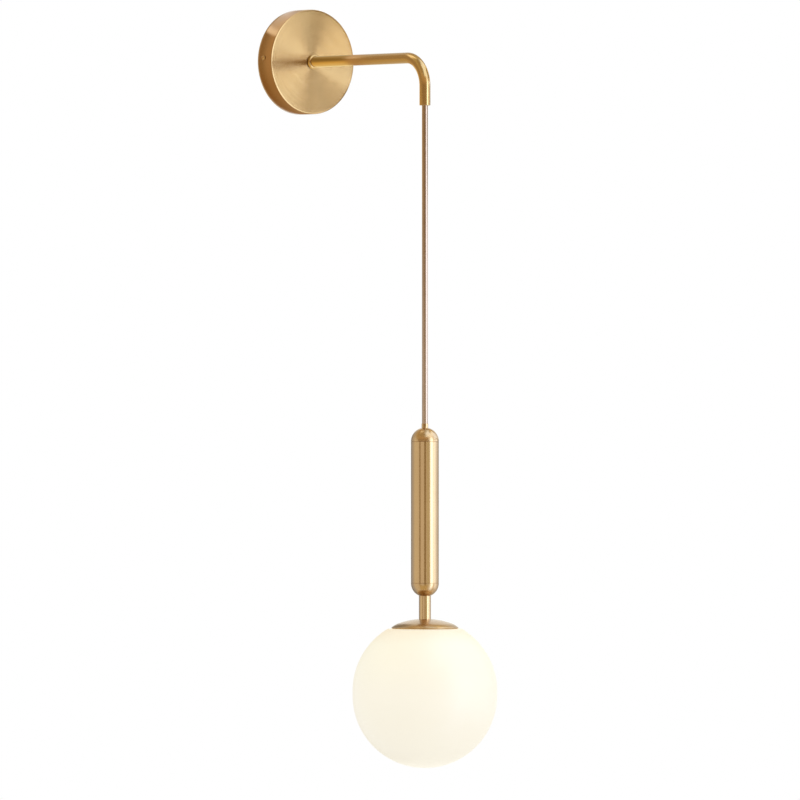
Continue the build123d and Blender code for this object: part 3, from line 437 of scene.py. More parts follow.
# Canopy: a shallow cup turned from brass, its face left with the fine circles of the turning tool
# and its side polished to a satin. Two screws through the side hold it on the bracket's ears.
CANOPY_RADIUS = 0.055
CANOPY_WALL = 0.0015
CANOPY_EDGE = 0.0006
CANOPY_CROWN = 0.008
CROWN_TURN = 78
CANOPY_FLAT = 0.00001
CANOPY_HOLE = 0.00515
GROOVE_PITCH = 0.00001
GROOVE_LEAN = 0.32
canopy_floor = CANOPY_FACE - CANOPY_WALL
canopy_inner = CANOPY_RADIUS - CANOPY_WALL
edge_middle = CANOPY_RADIUS - CANOPY_EDGE
crown_step = CANOPY_CROWN - CANOPY_EDGE
crown_middle = edge_middle - crown_step * cos(radians(CROWN_TURN))
crown_height = CANOPY_FACE - CANOPY_CROWN
edge_height = crown_height + crown_step * sin(radians(CROWN_TURN))
canopy = turned("canopy_cup", [
    (canopy_inner, 0.0),
    (CANOPY_RADIUS, 0.0),
    *arc(edge_middle, edge_height, CANOPY_EDGE, 0, CROWN_TURN, steps=6),
    *arc(crown_middle, crown_height, CANOPY_CROWN, CROWN_TURN, 90, steps=6)[1:],
    (CANOPY_HOLE, CANOPY_FACE),
    (CANOPY_HOLE, canopy_floor),
    (canopy_inner, canopy_floor),
    (canopy_inner, 0.0),
], WALL_AXIS)

turned_brass, wire = new_finish("turned_brass")
place = place_on(wire)
across = wire.node("ShaderNodeVectorMath", {"operation": "MULTIPLY"}, {0: place, 1: (1, 0, 1)})
from_middle = wire.node("ShaderNodeVectorMath", {"operation": "LENGTH"}, {0: across}, "Value")
outward = wire.node("ShaderNodeVectorMath", {"operation": "NORMALIZE"}, {0: across})
on_face = wire.math("LESS_THAN", part_of(wire, place, "Y"), CANOPY_FLAT - CANOPY_FACE)
groove = wire.math("FLOOR", from_middle / GROOVE_PITCH)
groove_lean = wire.node("ShaderNodeTexWhiteNoise", {"noise_dimensions": "1D"}, {"W": groove})
broad_circles = wire.node("ShaderNodeTexNoise", {"noise_dimensions": "1D"},
                          {"W": from_middle * 700.0, "Scale": 1.0, "Detail": 2.0})
tilt = (groove_lean - 0.5) * 2 * GROOVE_LEAN * on_face
tipped = wire.node("ShaderNodeVectorMath", {"operation": "SCALE"}, {0: outward, "Scale": tilt})
facing = wire.node("ShaderNodeNewGeometry", {}, {}, "Normal")
leaning = wire.node("ShaderNodeVectorMath", {"operation": "ADD"}, {0: facing, 1: tipped})
clouds = noise(wire, place, 40.0, 4.0)
surface(wire, {
    "Base Color": between(wire, broad_circles * 0.2 + clouds * 0.5 + 0.15,
                          (0.372, 0.221, 0.079, 1), (0.488, 0.299, 0.113, 1)),
    "Metallic": 1.0,
    "Roughness": clouds * 0.05 + broad_circles * 0.02 + 0.17,
    "Coat Weight": 0.3,
    "Coat Roughness": 0.2,
    "Normal": wire.node("ShaderNodeVectorMath", {"operation": "NORMALIZE"}, {0: leaning}),
})
stand_for(canopy, turned_brass, "wall_arm", "canopy")
dress(["canopy_screws"], arm_brass)


# Cord: a round lamp cord in a smooth coppery sheath over a fine braid. It comes out of the arm's
# bush, hangs straight under the pendant's weight and goes into the ferrule; its top is a piece of
# its own.
CORD_RADIUS = 0.0031
CORD_ROOT_END = -0.090
CORD_DROP_END = -0.380
CORD_SPLIT = -0.0874
CORD_STRAIGHT = 6 * 2 * CORD_RADIUS
CORD_POINTS = 24
ROUTE_STEPS = 64
STRANDS = 16
BRAID_PITCH = 0.006

cord_sheath, wire = new_finish("cord_sheath")
along = wire.node("ShaderNodeUVMap", {"uv_map": "cord"}, {})
round_cord = part_of(wire, along, "X") * STRANDS
down_cord = part_of(wire, along, "Y") / BRAID_PITCH
right_lay = wire.math("SINE", (round_cord + down_cord) * (2 * pi))
left_lay = wire.math("SINE", (round_cord - down_cord) * (2 * pi))
braid = wire.math("MAXIMUM", right_lay, left_lay) * 0.5 + 0.5
patches = noise(wire, place_on(wire), 120.0, 4.0)
surface(wire, {
    "Base Color": between(wire, braid * 0.2 + patches * 0.8,
                          (0.36, 0.238, 0.148, 1), (0.48, 0.333, 0.222, 1)),
    "Metallic": 1.0,
    "Roughness": patches * 0.05 + 0.15,
    "Coat Weight": 0.5,
    "Coat Roughness": 0.15,
    "Normal": bumped(wire, braid, 0.000003),
})


def cord_tube(name, route):
    """A tube round the smooth line of a route, with a UV map that runs round it and along it."""
    line = bpy.data.curves.new(name + "_route", "CURVE")
    line.dimensions = "3D"
    line.resolution_u = ROUTE_STEPS
    spline = line.splines.new("NURBS")
    spline.points.add(len(route) - 1)
    for point, place in zip(spline.points, route):
        point.co = (*place, 1.0)
    spline.order_u = 3
    spline.use_endpoint_u = True
    carrier = bpy.data.objects.new(name + "_route", line)
    read = bpy.data.meshes.new_from_object(carrier)
    path = [vertex.co.copy() for vertex in read.vertices]
    bpy.data.meshes.remove(read)
    bpy.data.curves.remove(line)
    bpy.ops.object.select_all(action="DESELECT")
    bpy.ops.mesh.primitive_circle_add(vertices=CORD_POINTS, radius=CORD_RADIUS,
                                      fill_type="NGON", location=path[0])
    bpy.ops.object.transform_apply(location=True)
    piece = fresh_edit(name)
    for here, there in zip(path, path[1:]):
        draw_out(there - here)
    close_edit()
    layer = piece.data.uv_layers.new(name="cord")
    for face in piece.data.polygons:
        spots = [piece.data.vertices[index].co - path[0] for index in face.vertices]
        turns = [atan2(spot.y, spot.x) / (2 * pi) for spot in spots]
        if max(turns) - min(turns) > 0.5:
            turns = [turn + 1 if turn < 0 else turn for turn in turns]
        for corner, spot, turn in zip(face.loop_indices, spots, turns):
            layer.data[corner].uv = (turn, -spot.z)
    piece.data.materials.clear()
    piece.data.materials.append(cord_sheath)
    return piece, path


def on_cord(height):
    """A point on the cord's straight line."""
    return (0, -ARM_REACH, height)


cord_bend, path = cord_tube("cord_bend", [
    on_cord(ARM_END),
    on_cord((ARM_END + CORD_SPLIT) / 2),
    on_cord(CORD_SPLIT),
])
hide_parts("cord_root")
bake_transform(cord_bend)
cord_hang, path = cord_tube("cord_hang", [
    on_cord(CORD_SPLIT),
    on_cord(CORD_ROOT_END - CORD_STRAIGHT),
    on_cord(CORD_DROP_END + CORD_STRAIGHT),
    on_cord(CORD_DROP_END),
])
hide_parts("cord_drop")
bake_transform(cord_hang)
inner_cord = marked_skin("inner_cord", (0.18, 0.10, 0.05), (0.34, 0.22, 0.13))
dress(["arm_cord", "pendant_cord"], inner_cord)


# Ferrule: a small turned brass sleeve crimped on the cord. Its flange sits inside the top dome and
# carries the pendant.
PENDANT_AXIS = Matrix.Translation((0, -ARM_REACH, 0))
PENDANT_TONES = (0.44, 0.265, 0.105, 1), (0.58, 0.365, 0.155, 1)
FERRULE_RADIUS = 0.0035
FERRULE_BORE = 0.00315
FERRULE_EDGE = 0.0002
FERRULE_FLANGE = 0.0048
FERRULE_SEAT = -0.3875
FERRULE_BOTTOM = -0.389
ferrule_neck = FERRULE_RADIUS - FERRULE_EDGE
ferrule = turned("ferrule", [
    (FERRULE_BORE, CORD_DROP_END),
    (ferrule_neck, CORD_DROP_END),
    *arc(ferrule_neck, CORD_DROP_END - FERRULE_EDGE, FERRULE_EDGE, 90, 0, steps=4),
    (FERRULE_RADIUS, FERRULE_SEAT),
    (FERRULE_FLANGE, FERRULE_SEAT),
    (FERRULE_FLANGE, FERRULE_BOTTOM),
    (FERRULE_BORE, FERRULE_BOTTOM),
    (FERRULE_BORE, CORD_DROP_END),
], PENDANT_AXIS)
pendant_brass = satin_brass("pendant_brass", "Z", 0.09, PENDANT_TONES)
stand_for(ferrule, pendant_brass, "pendant", "cord_ferrule")


# Pendant body: a brass tube between two turned domes whose spigots fit inside it. A fine seam shows
# at each end of the tube, where its edges are broken.
PENDANT_APEX = -0.3845
PENDANT_LENGTH = 0.147
PENDANT_RADIUS = 0.0145
PENDANT_BORE = 0.0133
SEAM = 0.0003
SPIGOT = 0.007
SPIGOT_PLAY = 0.00005
APEX_HOLE = 0.00355
ROD_HOLE = 0.00505
STEM_SEAT = 0.00675
DOME_STEPS = 20
top_seam = PENDANT_APEX - sqrt(PENDANT_RADIUS**2 - APEX_HOLE**2)
bottom_seam = top_seam - PENDANT_LENGTH
stem_top = bottom_seam - sqrt(PENDANT_RADIUS**2 - STEM_SEAT**2)
spigot_radius = PENDANT_BORE - SPIGOT_PLAY
apex_turn = degrees(acos(APEX_HOLE / PENDANT_RADIUS))
seat_turn = degrees(acos(STEM_SEAT / PENDANT_RADIUS))
top_dome = turned("top_dome", [
    (spigot_radius, top_seam - SPIGOT),
    (spigot_radius, top_seam),
    *arc(0, top_seam, PENDANT_RADIUS, 0, apex_turn, DOME_STEPS),
    (APEX_HOLE, FERRULE_SEAT),
    (ROD_HOLE, FERRULE_SEAT),
    (ROD_HOLE, top_seam - SPIGOT),
    (spigot_radius, top_seam - SPIGOT),
], PENDANT_AXIS)
dome_brass = satin_brass("dome_brass", "Z", 0.2, PENDANT_TONES)
stand_for(top_dome, dome_brass, "pendant", "pendant_top_cap")
body_tube = turned("body_tube", [
    (PENDANT_BORE, bottom_seam),
    (PENDANT_RADIUS - SEAM, bottom_seam),
    (PENDANT_RADIUS, bottom_seam + SEAM),
    (PENDANT_RADIUS, top_seam - SEAM),
    (PENDANT_RADIUS - SEAM, top_seam),
    (PENDANT_BORE, top_seam),
    (PENDANT_BORE, bottom_seam),
], PENDANT_AXIS)
stand_for(body_tube, pendant_brass, "pendant", "pendant_tube")
bottom_dome = turned("bottom_dome", [
    (ROD_HOLE, bottom_seam + SPIGOT),
    (ROD_HOLE, stem_top),
    *arc(0, bottom_seam, PENDANT_RADIUS, -seat_turn, 0, DOME_STEPS),
    (spigot_radius, bottom_seam),
    (spigot_radius, bottom_seam + SPIGOT),
    (ROD_HOLE, bottom_seam + SPIGOT),
], PENDANT_AXIS)
stand_for(bottom_dome, dome_brass, "pendant", "pendant_bottom_cap")


# Stem: a short brass sleeve cut from tube, its ends broken, slipped over the hollow rod. The rod's
# nut clamps it between the bottom dome and the cap.
STEM_LENGTH = 0.0255
STEM_RADIUS = 0.00625
STEM_BORE = 0.00515
STEM_EDGE = 0.0003
cap_seat = stem_top - STEM_LENGTH
stem = turned("stem", [
    (STEM_BORE, cap_seat),
    (STEM_RADIUS - STEM_EDGE, cap_seat),
    (STEM_RADIUS, cap_seat + STEM_EDGE),
    (STEM_RADIUS, stem_top - STEM_EDGE),
    (STEM_RADIUS - STEM_EDGE, stem_top),
    (STEM_BORE, stem_top),
    (STEM_BORE, cap_seat),
], PENDANT_AXIS)
stand_for(stem, pendant_brass, "pendant", "stem_sleeve")


# Globe cap: a flat brass dome, spun from sheet, with a tighter turn at its rim. The rod's nut
# clamps it under the stem.
CAP_RADIUS = 0.0342
CAP_HEIGHT = 0.0086
CAP_DOME = 0.083
CAP_DOME_REACH = 0.027
CAP_FLAT = 0.00745
CAP_SHEET = 0.001


def thicken(piece, thickness):
    """Gives a turned skin its wall, inwards."""
    wall = piece.modifiers.new("wall", "SOLIDIFY")
    wall.thickness = thickness
    wall.offset = -1
    bpy.ops.object.modifier_apply(modifier="wall")


cap_rim = cap_seat - CAP_HEIGHT
dome_middle = cap_seat - sqrt(CAP_DOME**2 - CAP_FLAT**2)
dome_start = 90 - degrees(asin(CAP_FLAT / CAP_DOME))
dome_end = 90 - degrees(asin(CAP_DOME_REACH / CAP_DOME))
dome_edge = Vector((CAP_DOME_REACH, dome_middle + sqrt(CAP_DOME**2 - CAP_DOME_REACH**2)))
chord = Vector((CAP_RADIUS, cap_rim)) - dome_edge
inward = Vector((-cos(radians(dome_end)), -sin(radians(dome_end))))
turn_radius = chord.length_squared / (2 * chord.dot(inward))
turn_middle = dome_edge + inward * turn_radius
turn_end = degrees(atan2(cap_rim - turn_middle.y, CAP_RADIUS - turn_middle.x))
cap = turned("cap", [
    (ROD_HOLE, cap_seat),
    *arc(0, dome_middle, CAP_DOME, dome_start, dome_end, steps=16),
    *arc(turn_middle.x, turn_middle.y, turn_radius, dome_end, turn_end, steps=12)[1:],
], PENDANT_AXIS)
thicken(cap, CAP_SHEET)
cap_brass = satin_brass("cap_brass", "Z", 0.24, PENDANT_TONES)
stand_for(cap, cap_brass, "pendant", "globe_cap")


# Gallery: a zinc-plated cup, pressed from sheet steel, that a nut holds under the cap. Its skirt
# has a coarse rolled thread, right-handed, that the ring in the globe's mouth screws on.
GALLERY_RADIUS = 0.0251
GALLERY_SHEET = 0.0012
GALLERY_CORNER = 0.002
ROLLED_PITCH = 0.003
ROLLED_DEPTH = 0.0006
ROLLED_RINGS = 48
RUN_OUT = 0.5
gallery_bottom, gallery_top = (corner[2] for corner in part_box("gallery"))
thread_top = gallery_top - GALLERY_CORNER
ring_step = (thread_top - gallery_bottom) / ROLLED_RINGS
gallery = turned("gallery_cup", [
    *[(GALLERY_RADIUS, gallery_bottom + ring * ring_step) for ring in range(ROLLED_RINGS)],
    *arc(GALLERY_RADIUS - GALLERY_CORNER, thread_top, GALLERY_CORNER, 0, 90, steps=6),
    (ROD_HOLE, gallery_top),
], PENDANT_AXIS)
for vertex in gallery.data.vertices:
    spoke = Vector((vertex.co.x, vertex.co.y + ARM_REACH, 0))
    room = min(vertex.co.z - gallery_bottom, thread_top - vertex.co.z) / ROLLED_PITCH
    along_thread = 2 * pi * vertex.co.z / ROLLED_PITCH - atan2(spoke.y, spoke.x)
    wave = (1 - cos(along_thread)) / 2
    valley = ROLLED_DEPTH * wave * min(max(room, 0.0), RUN_OUT) / RUN_OUT
    vertex.co -= spoke.normalized() * valley
thicken(gallery, GALLERY_SHEET)
stand_for(gallery, zinc_plate, "pendant", "gallery")


# Lampholder: two halves moulded in pale speckled resin, screwed together round a fired ceramic
# insert and on to the rod's end. The ceramic is unglazed, with fine pores.
holder_resin = marked_skin("holder_resin", (0.66, 0.64, 0.59), (0.80, 0.79, 0.75),
                           scale=1200.0, detail=3.0, dullness=0.38)
dress(["holder_cover", "holder_skirt"], holder_resin)
holder_ceramic = marked_skin("holder_ceramic", (0.72, 0.70, 0.64), (0.86, 0.85, 0.81),
                             scale=900.0, detail=6.0, dullness=0.55, depth=0.00005)
dress(["holder_insert"], holder_ceramic)


# Bulb: a nickel-plated screw cap with a black glass insulator at its end, and a moulded opal
# collar and dome. It screws into the lampholder and glows a little.
nickel_cap, wire = new_finish("nickel_cap")
rubs = noise(wire, place_on(wire), 200.0, 5.0)
surface(wire, {
    "Base Color": between(wire, rubs, (0.52, 0.50, 0.46, 1), (0.70, 0.68, 0.63, 1)),
    "Metallic": 1.0,
    "Roughness": rubs * 0.2 + 0.15,
})
dress(["bulb_cap"], nickel_cap)
black_glass, wire = new_finish("black_glass")
bubbles = noise(wire, place_on(wire), 800.0, 3.0)
surface(wire, {
    "Base Color": between(wire, bubbles, (0.008, 0.008, 0.01, 1), (0.03, 0.03, 0.035, 1)),
    "Roughness": bubbles * 0.15 + 0.12,
})
dress(["bulb_insulator"], black_glass)
bulb_plastic, wire = new_finish("bulb_plastic")
haze = noise(wire, place_on(wire), 150.0, 3.0)
surface(wire, {
    "Base Color": between(wire, haze, (0.80, 0.78, 0.72, 1), (0.88, 0.87, 0.83, 1)),
    "Roughness": haze * 0.15 + 0.4,
    "Emission Color": between(wire, haze, (1.0, 0.86, 0.62, 1), (1.0, 0.90, 0.70, 1)),
    "Emission Strength": 0.5,
})
dress(["bulb_collar", "bulb_dome"], bulb_plastic)


# Globe: blown opal glass, lit from inside, that a threaded ring in its mouth holds on the gallery.
# Two round halves have a narrow straight band between them, and the upper one ends in a flat
# shoulder. The glow is warm, and yellower towards the top.
CAP_GAP = 0.0004
GLOBE_RADIUS = 0.075
GLOBE_BAND = 0.0052
GLOBE_RISE = 0.0643
GLOBE_ROUND = 0.003
GLOBE_GLASS = 0.003
GLOBE_MOUTH = 0.02785
NEAR_POLE = -89.99
shoulder = cap_rim - CAP_GAP
globe_high = shoulder - GLOBE_RISE
globe_low = globe_high - GLOBE_BAND
globe_bottom = globe_low - GLOBE_RADIUS
corner_rise = GLOBE_RISE - GLOBE_ROUND
corner_turn = degrees(asin(corner_rise / (GLOBE_RADIUS - GLOBE_ROUND)))
corner_middle = sqrt((GLOBE_RADIUS - GLOBE_ROUND)**2 - corner_rise**2)
globe = turned("globe_glass", [
    (GLOBE_MOUTH, shoulder),
    *arc(corner_middle, globe_high + corner_rise, GLOBE_ROUND, 90, corner_turn, steps=8),
    *arc(0, globe_high, GLOBE_RADIUS, corner_turn, 0, steps=28)[1:],
    *arc(0, globe_low, GLOBE_RADIUS, 0, NEAR_POLE, steps=48),
], PENDANT_AXIS)
thicken(globe, GLOBE_GLASS)

opal_glass, wire = new_finish("opal_glass")
place = place_on(wire)
rise = (part_of(wire, place, "Z") - globe_bottom) / (shoulder - globe_bottom)
swirl = noise(wire, place, 14.0, 3.0)
glow = wire.node("ShaderNodeValToRGB", {"stops": [
    (0.0, (1.0, 0.92, 0.72)),
    (0.55, (1.0, 0.91, 0.68)),
    (0.90, (1.0, 0.91, 0.60)),
    (1.0, (1.0, 0.78, 0.42)),
]}, {"Fac": rise + (swirl - 0.5) * 0.1})
surface(wire, {
    "Base Color": between(wire, swirl, (0.86, 0.83, 0.76, 1), (0.90, 0.88, 0.82, 1)),
    "Roughness": swirl * 0.1 + 0.38,
    "Specular IOR Level": 0.35,
    "Emission Color": glow,
    "Emission Strength": 0.44,
})
stand_for(globe, opal_glass, "globe_shade", "globe")


# Threaded ring and gasket: a turned aluminium ring cemented in the globe's mouth, and a milky
# silicone washer with soft edges that lies on it and on the globe's shoulder.
GASKET_INNER = 0.02545
GASKET_OUTER = 0.03085
GASKET_THICKNESS = 0.0015
GASKET_ROUND = 0.0004
GASKET_PLAY = 0.00003
GASKET_STEPS = 5

bare_aluminium, wire = new_finish("bare_aluminium")
turning = noise(wire, stretched(wire, place_on(wire), (1, 1, 60)), 60.0, 3.0)
surface(wire, {
    "Base Color": between(wire, turning, (0.60, 0.60, 0.61, 1), (0.78, 0.78, 0.79, 1)),
    "Metallic": 1.0,
    "Roughness": turning * 0.2 + 0.25,
    "Normal": bumped(wire, turning, 0.00004),
})
dress(["globe_collar"], bare_aluminium)

inner_round = GASKET_INNER + GASKET_ROUND
outer_round = GASKET_OUTER - GASKET_ROUND
gasket_bottom = shoulder + GASKET_PLAY
low_round = gasket_bottom + GASKET_ROUND
high_round = shoulder + GASKET_THICKNESS - GASKET_ROUND
gasket = turned("gasket", [
    *arc(outer_round, low_round, GASKET_ROUND, -90, 0, GASKET_STEPS),
    *arc(outer_round, high_round, GASKET_ROUND, 0, 90, GASKET_STEPS),
    *arc(inner_round, high_round, GASKET_ROUND, 90, 180, GASKET_STEPS),
    *arc(inner_round, low_round, GASKET_ROUND, 180, 270, GASKET_STEPS),
    (outer_round, gasket_bottom),
], PENDANT_AXIS)
silicone, wire = new_finish("silicone")
dust = noise(wire, place_on(wire), 500.0, 4.0)
surface(wire, {
    "Base Color": between(wire, dust, (0.66, 0.64, 0.58, 1), (0.78, 0.76, 0.71, 1)),
    "Roughness": dust * 0.2 + 0.5,
    "Subsurface Weight": 0.2,
    "Subsurface Radius": WAX_DEPTH,
})
stand_for(gasket, silicone, "globe_seal", "globe_gasket")


# Studio air: a white surround that the camera, reflections and glass see at full white, and that
# lights the lamp from all sides at a lower level.
AMBIENT = 0.6
WHITE = (1, 1, 1, 1)


def seen_white(wire):
    """One for a ray of the camera, a reflection or glass, nothing for light on a surface."""
    rays = [wire.node("ShaderNodeLightPath", {}, {}, "Is %s Ray" % kind)
            for kind in ("Camera", "Glossy", "Transmission")]
    return wire.math("MAXIMUM", rays[0], wire.math("MAXIMUM", rays[1], rays[2]))


studio = bpy.data.worlds.new("studio")
bpy.context.scene.world = studio
studio.use_nodes = True
studio.node_tree.nodes.clear()
wire = Wire(studio.node_tree)
air = wire.node("ShaderNodeBackground", {}, {
    "Color": WHITE, "Strength": seen_white(wire) * (1 - AMBIENT) + AMBIENT})
wire.node("ShaderNodeOutputWorld", {}, {"Surface": air})


# Light panels: soft lights that only the metal sees, of cool daylight but for a golden one by the
# canopy. The tall softbox on the camera's right gives the long bright band, and the panels beside
# and above it light the cord, the domes and the stem.
CAMERA_TURN = -38.3
PANEL_EDGE = 0.5
DAYLIGHT = (0.80, 1.0, 1.42, 1)
SOFT_BASE = 0.75


def sideways(turn):
    """The level direction from the lamp at an angle to the right of the camera's direction."""
    angle = radians(CAMERA_TURN + turn)
    return Vector((sin(angle), -cos(angle), 0))


def card(name, turn, distance, width, height, middle):
    """An upright panel that faces the pendant's axis, its middle at this height."""
    bpy.ops.object.select_all(action="DESELECT")
    bpy.ops.mesh.primitive_plane_add(size=1, location=(0, 0, 0))
    panel = bpy.context.object
    panel.name = name
    out = sideways(turn)
    panel.matrix_world = (
        Matrix.Translation(Vector((0, -ARM_REACH, middle)) + out * distance)
        @ out.to_track_quat("Z", "Y").to_matrix().to_4x4()
        @ Matrix.Diagonal((width, height, 1, 1))
    )
    return panel


def only_metal(panel, finish):
    """Lets a panel be seen in reflections only."""
    panel.visible_camera = False
    panel.visible_diffuse = False
    panel.visible_shadow = False
    panel.data.materials.append(finish)


def fade(wire, value, span, ends=(0.0, 1.0)):
    """A number that goes smoothly from one end to the other as a value crosses a span."""
    return wire.node("ShaderNodeMapRange", {"interpolation_type": "SMOOTHSTEP"}, {
        "Value": value, "From Min": span[0], "From Max": span[1],
        "To Min": ends[0], "To Max": ends[1]})


def window(wire, value, rise, fall):
    """One between a rising and a falling edge, nothing outside them."""
    return fade(wire, value, rise) * fade(wire, value, fall, ends=(1.0, 0.0))


def shine(name, colour, strength, one_sided=False):
    """A material that only gives light, its colour and strength worked out from a place on it."""
    made, wire = new_finish(name)
    place = place_on(wire)
    across = part_of(wire, place, "X")
    up = part_of(wire, place, "Y")
    light = wire.node("ShaderNodeEmission", {}, {
        "Color": colour(wire, across, up), "Strength": strength(wire, across, up)})
    if one_sided:
        behind = wire.node("ShaderNodeNewGeometry", {}, {}, "Backfacing")
        clear = wire.node("ShaderNodeBsdfTransparent", {}, {})
        light = wire.node("ShaderNodeMixShader", {}, {0: behind, 1: light, 2: clear})
    wire.node("ShaderNodeOutputMaterial", {}, {"Surface": light})
    return made


def graded(left, right):
    """A number for each place on a panel, from its left edge to its right one."""
    return lambda wire, across, up: fade(wire, across, (-PANEL_EDGE, PANEL_EDGE), (left, right))


def daylight(share):
    """A colour for each place on a panel: white at no share, cool daylight at the full share."""
    return lambda wire, across, up: between(wire, share(wire, across, up), WHITE, DAYLIGHT)


def mottled(scale, dark, light):
    """A colour for each place on a panel: the two close tones of a cloth."""
    return lambda wire, across, up: between(
        wire, noise(wire, place_on(wire), scale), (*dark, 1), (*light, 1))


def soft_share(wire, across, up):
    """The share of the softbox's light at a place on it, less towards its edges and its top."""
    return (window(wire, across, rise=(-0.5, -0.36), fall=(0.1, 0.5))
            * fade(wire, up, (-0.5, -0.37)) * fade(wire, up, (0.204, 0.344), ends=(1.0, 0.42)))


def soft_strength(wire, across, up):
    level = fade(wire, up, (-0.45, 0.048), ends=(0.9, 2.95))
    return soft_share(wire, across, up) * level + SOFT_BASE


only_metal(card("softbox", turn=61, distance=2.0, width=1.3, height=5.4, middle=-0.9),
           shine("soft_light", daylight(soft_share), soft_strength))
for name, light, turn, distance, width, height, middle, coolness, strength in (
    ("side_card", "side_light", 97, 1.9, 2.1, 0.27, -0.49, (1.0, 0.6), (3.0, 1.0)),
    ("cord_card", "cord_light", 103, 1.9, 1.5, 0.25, -0.235, (0.9, 0.7), (2.8, 2.2)),
    ("cord_edge", "edge_light", 38, 1.9, 0.5, 0.25, -0.235, (0.6, 0.9), (0.6, 2.6)),
    ("low_card", "low_light", 107, 1.9, 1.4, 1.0, -1.13, (0.7, 0.4), (2.2, 1.0)),
):
    only_metal(card(name, turn, distance, width, height, middle),
               shine(light, daylight(graded(*coolness)), graded(*strength)))
upper_light = shine(
    "upper_light",
    daylight(lambda wire, across, up: noise(wire, place_on(wire), 2.0) * 0.2 + 0.8),
    graded(2.1, 1.9))
only_metal(card("upper_card", turn=109, distance=2.2, width=2.2, height=1.4, middle=0.85),
           upper_light)
overhead = card("overhead", turn=58, distance=0.9, width=1.3, height=2.4, middle=1.5)
overhead.matrix_world = overhead.matrix_world @ Matrix.Rotation(pi / 2, 4, "X")
only_metal(overhead, upper_light)
only_metal(card("canopy_card", turn=132.4, distance=0.354, width=0.16, height=0.19, middle=0.12),
           shine("canopy_light", mottled(2.0, (1.0, 0.83, 0.40), (1.0, 0.86, 0.46)),
                 graded(1.6, 1.8)))
only_metal(card("dome_card", turn=75, distance=1.9, width=0.62, height=0.75, middle=1.28),
           upper_light)


# Cloths: dark, golden and grey cloth on upright frames, again for the metal alone. They give the
# brass its dark and golden bands, and two small ones beside the canopy darken wedges of its face.
def even(wire, across, up):
    return 1.0


brown_cloth = shine(
    "brown_cloth",
    mottled(8.0, (0.40, 0.30, 0.18), (0.50, 0.38, 0.24)),
    lambda wire, across, up: fade(wire, up, (-0.3, 0.1), ends=(1.0, 1.7)))
for turn, width in ((-90, 1.2), (-60, 1.2), (-30, 1.2), (0, 1.2), (25, 0.7)):
    only_metal(card("cloth", turn, distance=2.2, width=width, height=1.5, middle=0.48),
               brown_cloth)
dark_cloth = shine(
    "dark_cloth", mottled(8.0, (0.30, 0.25, 0.15), (0.38, 0.31, 0.19)), graded(1.3, 1.5))
gold_cloth = shine("gold_cloth", mottled(4.0, (0.82, 0.70, 0.38), (0.94, 0.84, 0.52)), even)
cream_cloth = shine("cream_cloth", mottled(4.0, (0.82, 0.83, 0.64), (0.90, 0.91, 0.74)), even)
grey_cloth = shine("grey_cloth", mottled(8.0, (0.56, 0.62, 0.66), (0.66, 0.73, 0.76)), even)
for name, finish, turn, distance, width, height, middle in (
    ("front_flag", dark_cloth, 2, 2.2, 0.62, 1.2, -0.8),
    ("left_flag", dark_cloth, -42, 2.2, 0.40, 1.2, -0.8),
    ("canopy_flag", dark_cloth, 110, 0.277, 0.205, 0.19, 0.13),
    ("lower_flag", dark_cloth, 156.7, 0.181, 0.15, 0.095, -0.0825),
    ("gold_card", gold_cloth, -12, 1.6, 2.4, 2.1, -2.15),
    ("cream_card", cream_cloth, 27, 2.25, 0.8, 1.2, -0.8),
    ("right_cloth", grey_cloth, 115, 2.1, 1.4, 0.13, -0.035),
):
    only_metal(card(name, turn, distance, width, height, middle), finish)


# Ceiling: a round painted board over the lamp that only the metal sees, brown on the camera's left
# and bright on its right, for the tops of the arm and the domes.
CEILING_RADIUS = 3.0
CEILING_HEIGHT = 1.7
CEILING_POINTS = 64
RIGHT_ACROSS = 0.785
RIGHT_DOWN = 0.62


def disc(name, radius, points, place, rotation=(0, 0, 0)):
    """A flat round panel."""
    bpy.ops.object.select_all(action="DESELECT")
    bpy.ops.mesh.primitive_circle_add(vertices=points, radius=radius, fill_type="NGON",
                                      location=place, rotation=rotation)
    panel = bpy.context.object
    panel.name = name
    return panel


def to_the_right(across, up):
    """How far a place on the ceiling lies to the camera's right."""
    return across * RIGHT_ACROSS - up * RIGHT_DOWN


def ceiling_colour(wire, across, up):
    return between(wire, fade(wire, to_the_right(across, up), (0.0, 0.5)),
                   (0.62, 0.52, 0.34, 1), (0.90, 1.06, 1.30, 1))


def ceiling_strength(wire, across, up):
    return fade(wire, to_the_right(across, up), (0.4, 0.9), ends=(1.0, 2.0))


only_metal(disc("ceiling", CEILING_RADIUS, CEILING_POINTS, place=(0, 0, CEILING_HEIGHT)),
           shine("ceiling_paint", ceiling_colour, ceiling_strength))


# Wall: the wall behind the lamp, which only the metal sees, with a hole for the canopy. Its paint
# holds painted light and shade: lighter and darker patches for the arm and the pendant, painted
# shade at the canopy's height, the pendant's painted shadow and, beside the canopy, a painted
# shadow, a lighter ring and a painted glint for the canopy's rim.
WALL_HOLE = 0.0565
WALL_SPREAD = 40
WALL_GAP = 0.0005
WALL_SPAN = 0.6

bpy.ops.object.select_all(action="DESELECT")
bpy.ops.mesh.primitive_circle_add(vertices=RING_POINTS, radius=WALL_HOLE, location=(0, 0, 0))
wall = fresh_edit("wall")
bpy.ops.mesh.extrude_region_move()
bpy.ops.transform.resize(value=(WALL_SPREAD, WALL_SPREAD, 1), center_override=(0, 0, 0))
bpy.ops.object.mode_set(mode="OBJECT")
wall.matrix_world = Matrix.Translation((0, WALL_GAP, 0)) @ WALL_AXIS


def high_patch(wire, across, up):
    """A bright patch above the canopy, to the left."""
    return window(wire, across, rise=(-0.3, -0.2), fall=(-0.1, 0.0)) * fade(wire, up, (0.15, 0.25))


